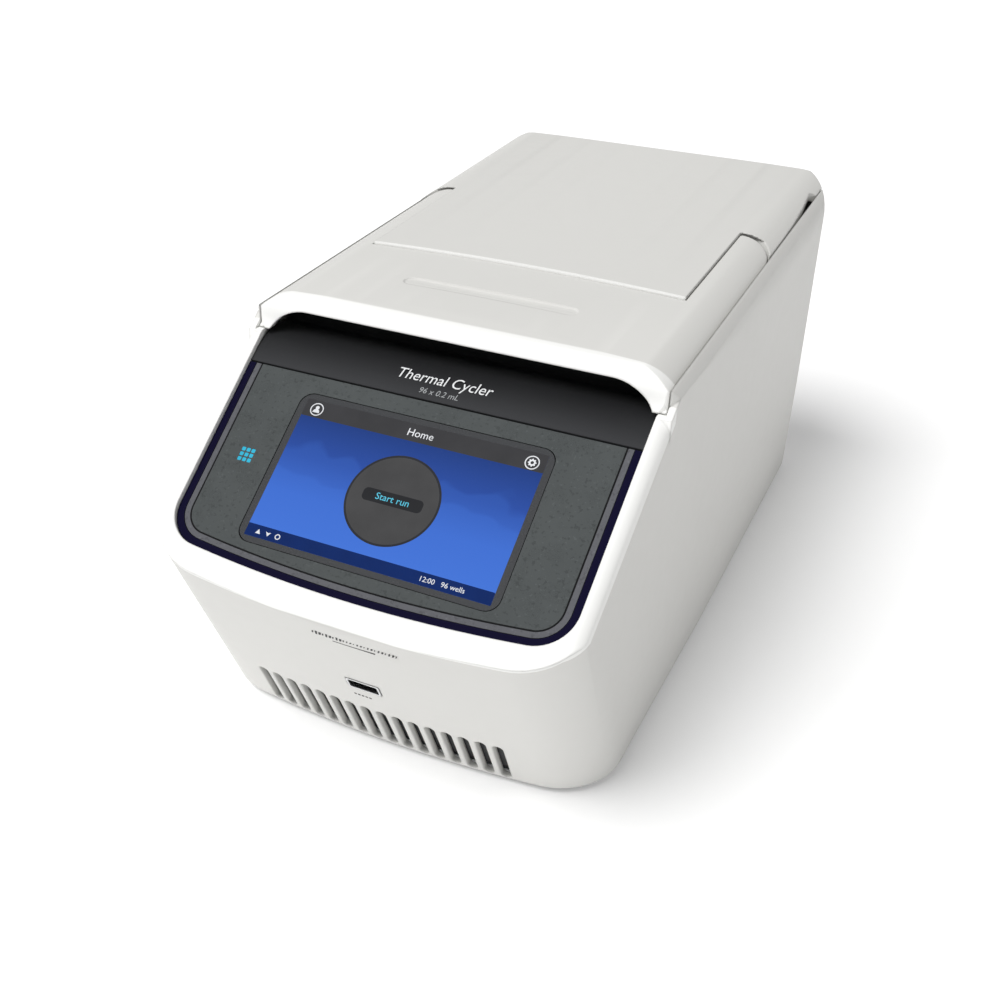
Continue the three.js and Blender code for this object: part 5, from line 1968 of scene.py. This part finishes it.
@dataclass
class Rear:
    """The rear panel with its fan opening and guard. Sizes are in millimetres."""

    shop: Builder
    fan_x: float = -29.0
    fan_z: float = 66.0
    inlet_x: float = 50.0
    plate_front_y: float = 187.6
    plate_rear_y: float = 189.6
    bore: float = 43.0
    ring_radii: tuple[float, ...] = (40.4, 34.0, 27.6, 21.2, 14.8, 8.4)
    screw_places: tuple[Point, ...] = ((-72, 20), (72, 20), (-72, 112), (72, 112), (0, 112), (34, 20))

    def build(self) -> None:
        """Builds the rear's pieces."""
        self.plate()
        self.guard()

    def plate(self) -> None:
        """The steel plate with its openings and screws."""
        x, rear = self.inlet_x, self.plate_rear_y
        plate = Shop.prism("plate", rounded_box(-77.6, 77.6, 14.4, 117.6, 4.6, 8), self.plate_front_y, rear, ALONG_Y)
        cutters = [
            Shop.prism("bore", circle((self.fan_x, self.fan_z), self.bore, 96), 180, 200, ALONG_Y),
            Shop.prism("inlet", rounded_box(x - 14, x + 14, 23.5, 44.5, 0.6, 3), 180, 200, ALONG_Y),
            Shop.prism("switch", rounded_box(x - 7, x + 7, 60, 80, 0.6, 3), 180, 200, ALONG_Y),
            Shop.prism("usb", rounded_box(x - 21.5, x - 8.5, 94, 106, 0.6, 3), 180, 200, ALONG_Y),
            Shop.prism("net", rounded_box(x + 3.5, x + 20.5, 92.8, 107.2, 0.6, 3), 180, 200, ALONG_Y),
        ]
        Shop.combine(plate, "DIFFERENCE", *cutters)
        self.shop.done(plate, "rear_plate", STEEL, Body.HOUSING, Slot.STEEL, ["rear_panel"])
        screws = []
        for sx, sz in self.screw_places:
            head = Shop.prism("screw", circle((sx, sz), 2.6, 32), rear, rear + 1.3, ALONG_Y)
            Shop.soften(head, 0.5, 3, 60.0)
            slot = Shop.box("slot", sx - 2.0, sx + 2.0, rear + 0.6, rear + 2.4, sz - 0.35, sz + 0.35)
            cross = Shop.box("slot", sx - 0.35, sx + 0.35, rear + 0.6, rear + 2.4, sz - 2.0, sz + 2.0)
            screws.append(Shop.combine(head, "DIFFERENCE", slot, cross))
        self.shop.done(Shop.join("screws", screws), "rear_screws", BRIGHT_STEEL, Body.HOUSING, Slot.STEEL)

    def guard(self) -> None:
        """The fan's wire guard: rings on two bent spokes."""
        rings = []
        for radius in self.ring_radii:
            bpy.ops.object.select_all(action="DESELECT")
            bpy.ops.mesh.primitive_torus_add(
                major_segments=96, minor_segments=10, major_radius=radius * MM, minor_radius=0.75 * MM,
                location=(self.fan_x * MM, 188.7 * MM, self.fan_z * MM), rotation=(math.pi / 2, 0, 0),
            )
            rings.append(Shop.settle(bpy.context.object))
        for turn in (45, 135):
            bpy.ops.object.select_all(action="DESELECT")
            bpy.ops.mesh.primitive_cylinder_add(
                vertices=12, radius=0.8 * MM, depth=86 * MM, location=(self.fan_x * MM, 187.8 * MM, self.fan_z * MM),
                rotation=(0, math.radians(turn), 0),
            )
            rings.append(Shop.settle(bpy.context.object))
        guard = Shop.join("guard", rings)
        self.shop.done(guard, "fan_guard", GUARD_WIRE, Body.HOUSING, Slot.DARK_PLASTIC, ["exhaust_guard"], smooth=60.0)


class Fittings:
    """The CAD nodes whose own shape is shown, each with its finish."""

    FINISHES: dict[str, Any] = {
        "base_plate": STEEL, "vent_filter": VENT_MESH, "power_inlet": BLACK, "switch_frame": BLACK,
        "power_rocker": BLACK, "rear_usb_port": BRIGHT_STEEL, "network_port": BRIGHT_STEEL, "display_board": BOARD,
        "deck": DARK, "block_seal": RUBBER, "heat_sink": SINK_ALUMINIUM, "fan_housing": BLACK, "fan_rotor": DARK,
        "main_board": BOARD, "power_supply": STEEL, "lid_liner": DARK, "lid_frame": DARK, "pressure_plate": STEEL,
        "heated_platen": ALUMINIUM, "platen_heater": HEATER,
    }
    FAMILIES: dict[str, Any] = {
        "hinge_bracket_": STEEL, "hinge_pin_": BRIGHT_STEEL, "lever_pin_": BRIGHT_STEEL,
        "catch_magnet_": BRIGHT_STEEL, "peltier_module_": CERAMIC, "board_standoff_": BRIGHT_STEEL,
    }

    @classmethod
    def finish_of(cls, name: str) -> Any:
        """The finish of a node, by its own name or by its family's.

        Args:
            name: the node's name.

        Returns:
            The finish.
        """
        if name in cls.FINISHES:
            return cls.FINISHES[name]
        return next(finish for family, finish in cls.FAMILIES.items() if name.startswith(family))

    @classmethod
    def dress(cls, wardrobe: Wardrobe) -> None:
        """Gives each shown CAD node its finish.

        Args:
            wardrobe: the finishes.
        """
        for name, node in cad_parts.items():
            if node.hide_render:
                continue
            material = wardrobe.get(cls.finish_of(name))
            if not node.material_slots:
                node.data.materials.append(material)
            for slot in node.material_slots:
                slot.material = material


# -------------------------------------------------------------------------------------------------- studio


@dataclass
class Studio:
    """The pale floor, the soft lights and the camera. Lengths are in metres."""

    eye: tuple[float, float, float] = (0.2058, -0.5332, 0.3932)
    elevation: float = 29.932
    azimuth: float = 26.941
    lens: float = 47.09
    shift: Point = (0.0875, -0.0354)
    floor_size: float = 30.0
    floor_glow: float = 0.15
    surround: float = 0.345
    key_power: float = 2.55
    key_spread: float = 34.0
    key_aim: tuple[float, float, float] = (0.22, 0.34, -0.64)

    def build(self) -> None:
        """Sets up everything round the object."""
        self.camera()
        self.floor()
        self.lights()

    def camera(self) -> None:
        """The camera, at the angle that the object is looked at from."""
        data = bpy.data.cameras.new("camera")
        data.sensor_width = 36.0
        data.lens = self.lens
        data.shift_x, data.shift_y = self.shift
        data.clip_start = 0.01
        camera = bpy.data.objects.new("camera", data)
        camera.location = self.eye
        camera.rotation_euler = (math.radians(90 - self.elevation), 0.0, math.radians(self.azimuth))
        bpy.context.scene.collection.objects.link(camera)
        bpy.context.scene.camera = camera

    def floor(self) -> None:
        """A wide pale floor."""
        bpy.ops.object.select_all(action="DESELECT")
        bpy.ops.mesh.primitive_plane_add(size=self.floor_size)
        floor = bpy.context.object
        floor.name = "floor"
        graph = Graph("pale_floor")
        haze = graph.noise(1.5, 2.0)
        graph.surface(
            Base_Color=graph.blend(graph.stretch(haze, 0.3, 0.7, 0.0, 1.0), (0.93, 0.93, 0.93), (0.95, 0.95, 0.95)),
            Roughness=0.9, Specular_IOR_Level=0.0,
            Emission_Color=(1.0, 1.0, 1.0), Emission_Strength=self.floor_glow,
        )
        Shop.dress(floor, graph.material)

    def lights(self) -> None:
        """White surroundings, and a broad key from the front left."""
        world = bpy.data.worlds.new("studio")
        world.use_nodes = True
        background = world.node_tree.nodes["Background"]
        background.inputs[0].default_value = (1.0, 1.0, 1.0, 1.0)
        background.inputs[1].default_value = self.surround
        bpy.context.scene.world = world
        bpy.context.scene.view_settings.view_transform = "Standard"
        data = bpy.data.lights.new("key", "SUN")
        data.energy = self.key_power
        data.angle = math.radians(self.key_spread)
        key = bpy.data.objects.new("key", data)
        key.location = (-0.44, -0.72, 1.26)
        key.visible_glossy = False
        key.rotation_euler = Vector(self.key_aim).to_track_quat("-Z", "Y").to_euler()
        bpy.context.scene.collection.objects.link(key)


def main() -> None:
    """Builds the object piece by piece."""
    logging.basicConfig(level=logging.INFO, format="%(name)s: %(message)s")
    bpy.ops.object.select_all(action="DESELECT")
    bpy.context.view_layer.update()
    Studio().build()
    wardrobe = Wardrobe()
    builder = Builder(Form(), wardrobe)
    parts: list[Callable[[], None]] = [
        Housing(builder).build, ControlPanel(builder).build, Visor(builder).build, Lid(builder).build,
        Springs(builder).build, SampleBlock(builder).build, Feet(builder).build, Rear(builder).build,
    ]
    for build in parts:
        build()
    Fittings.dress(wardrobe)


if __name__ == "__main__":
    main()
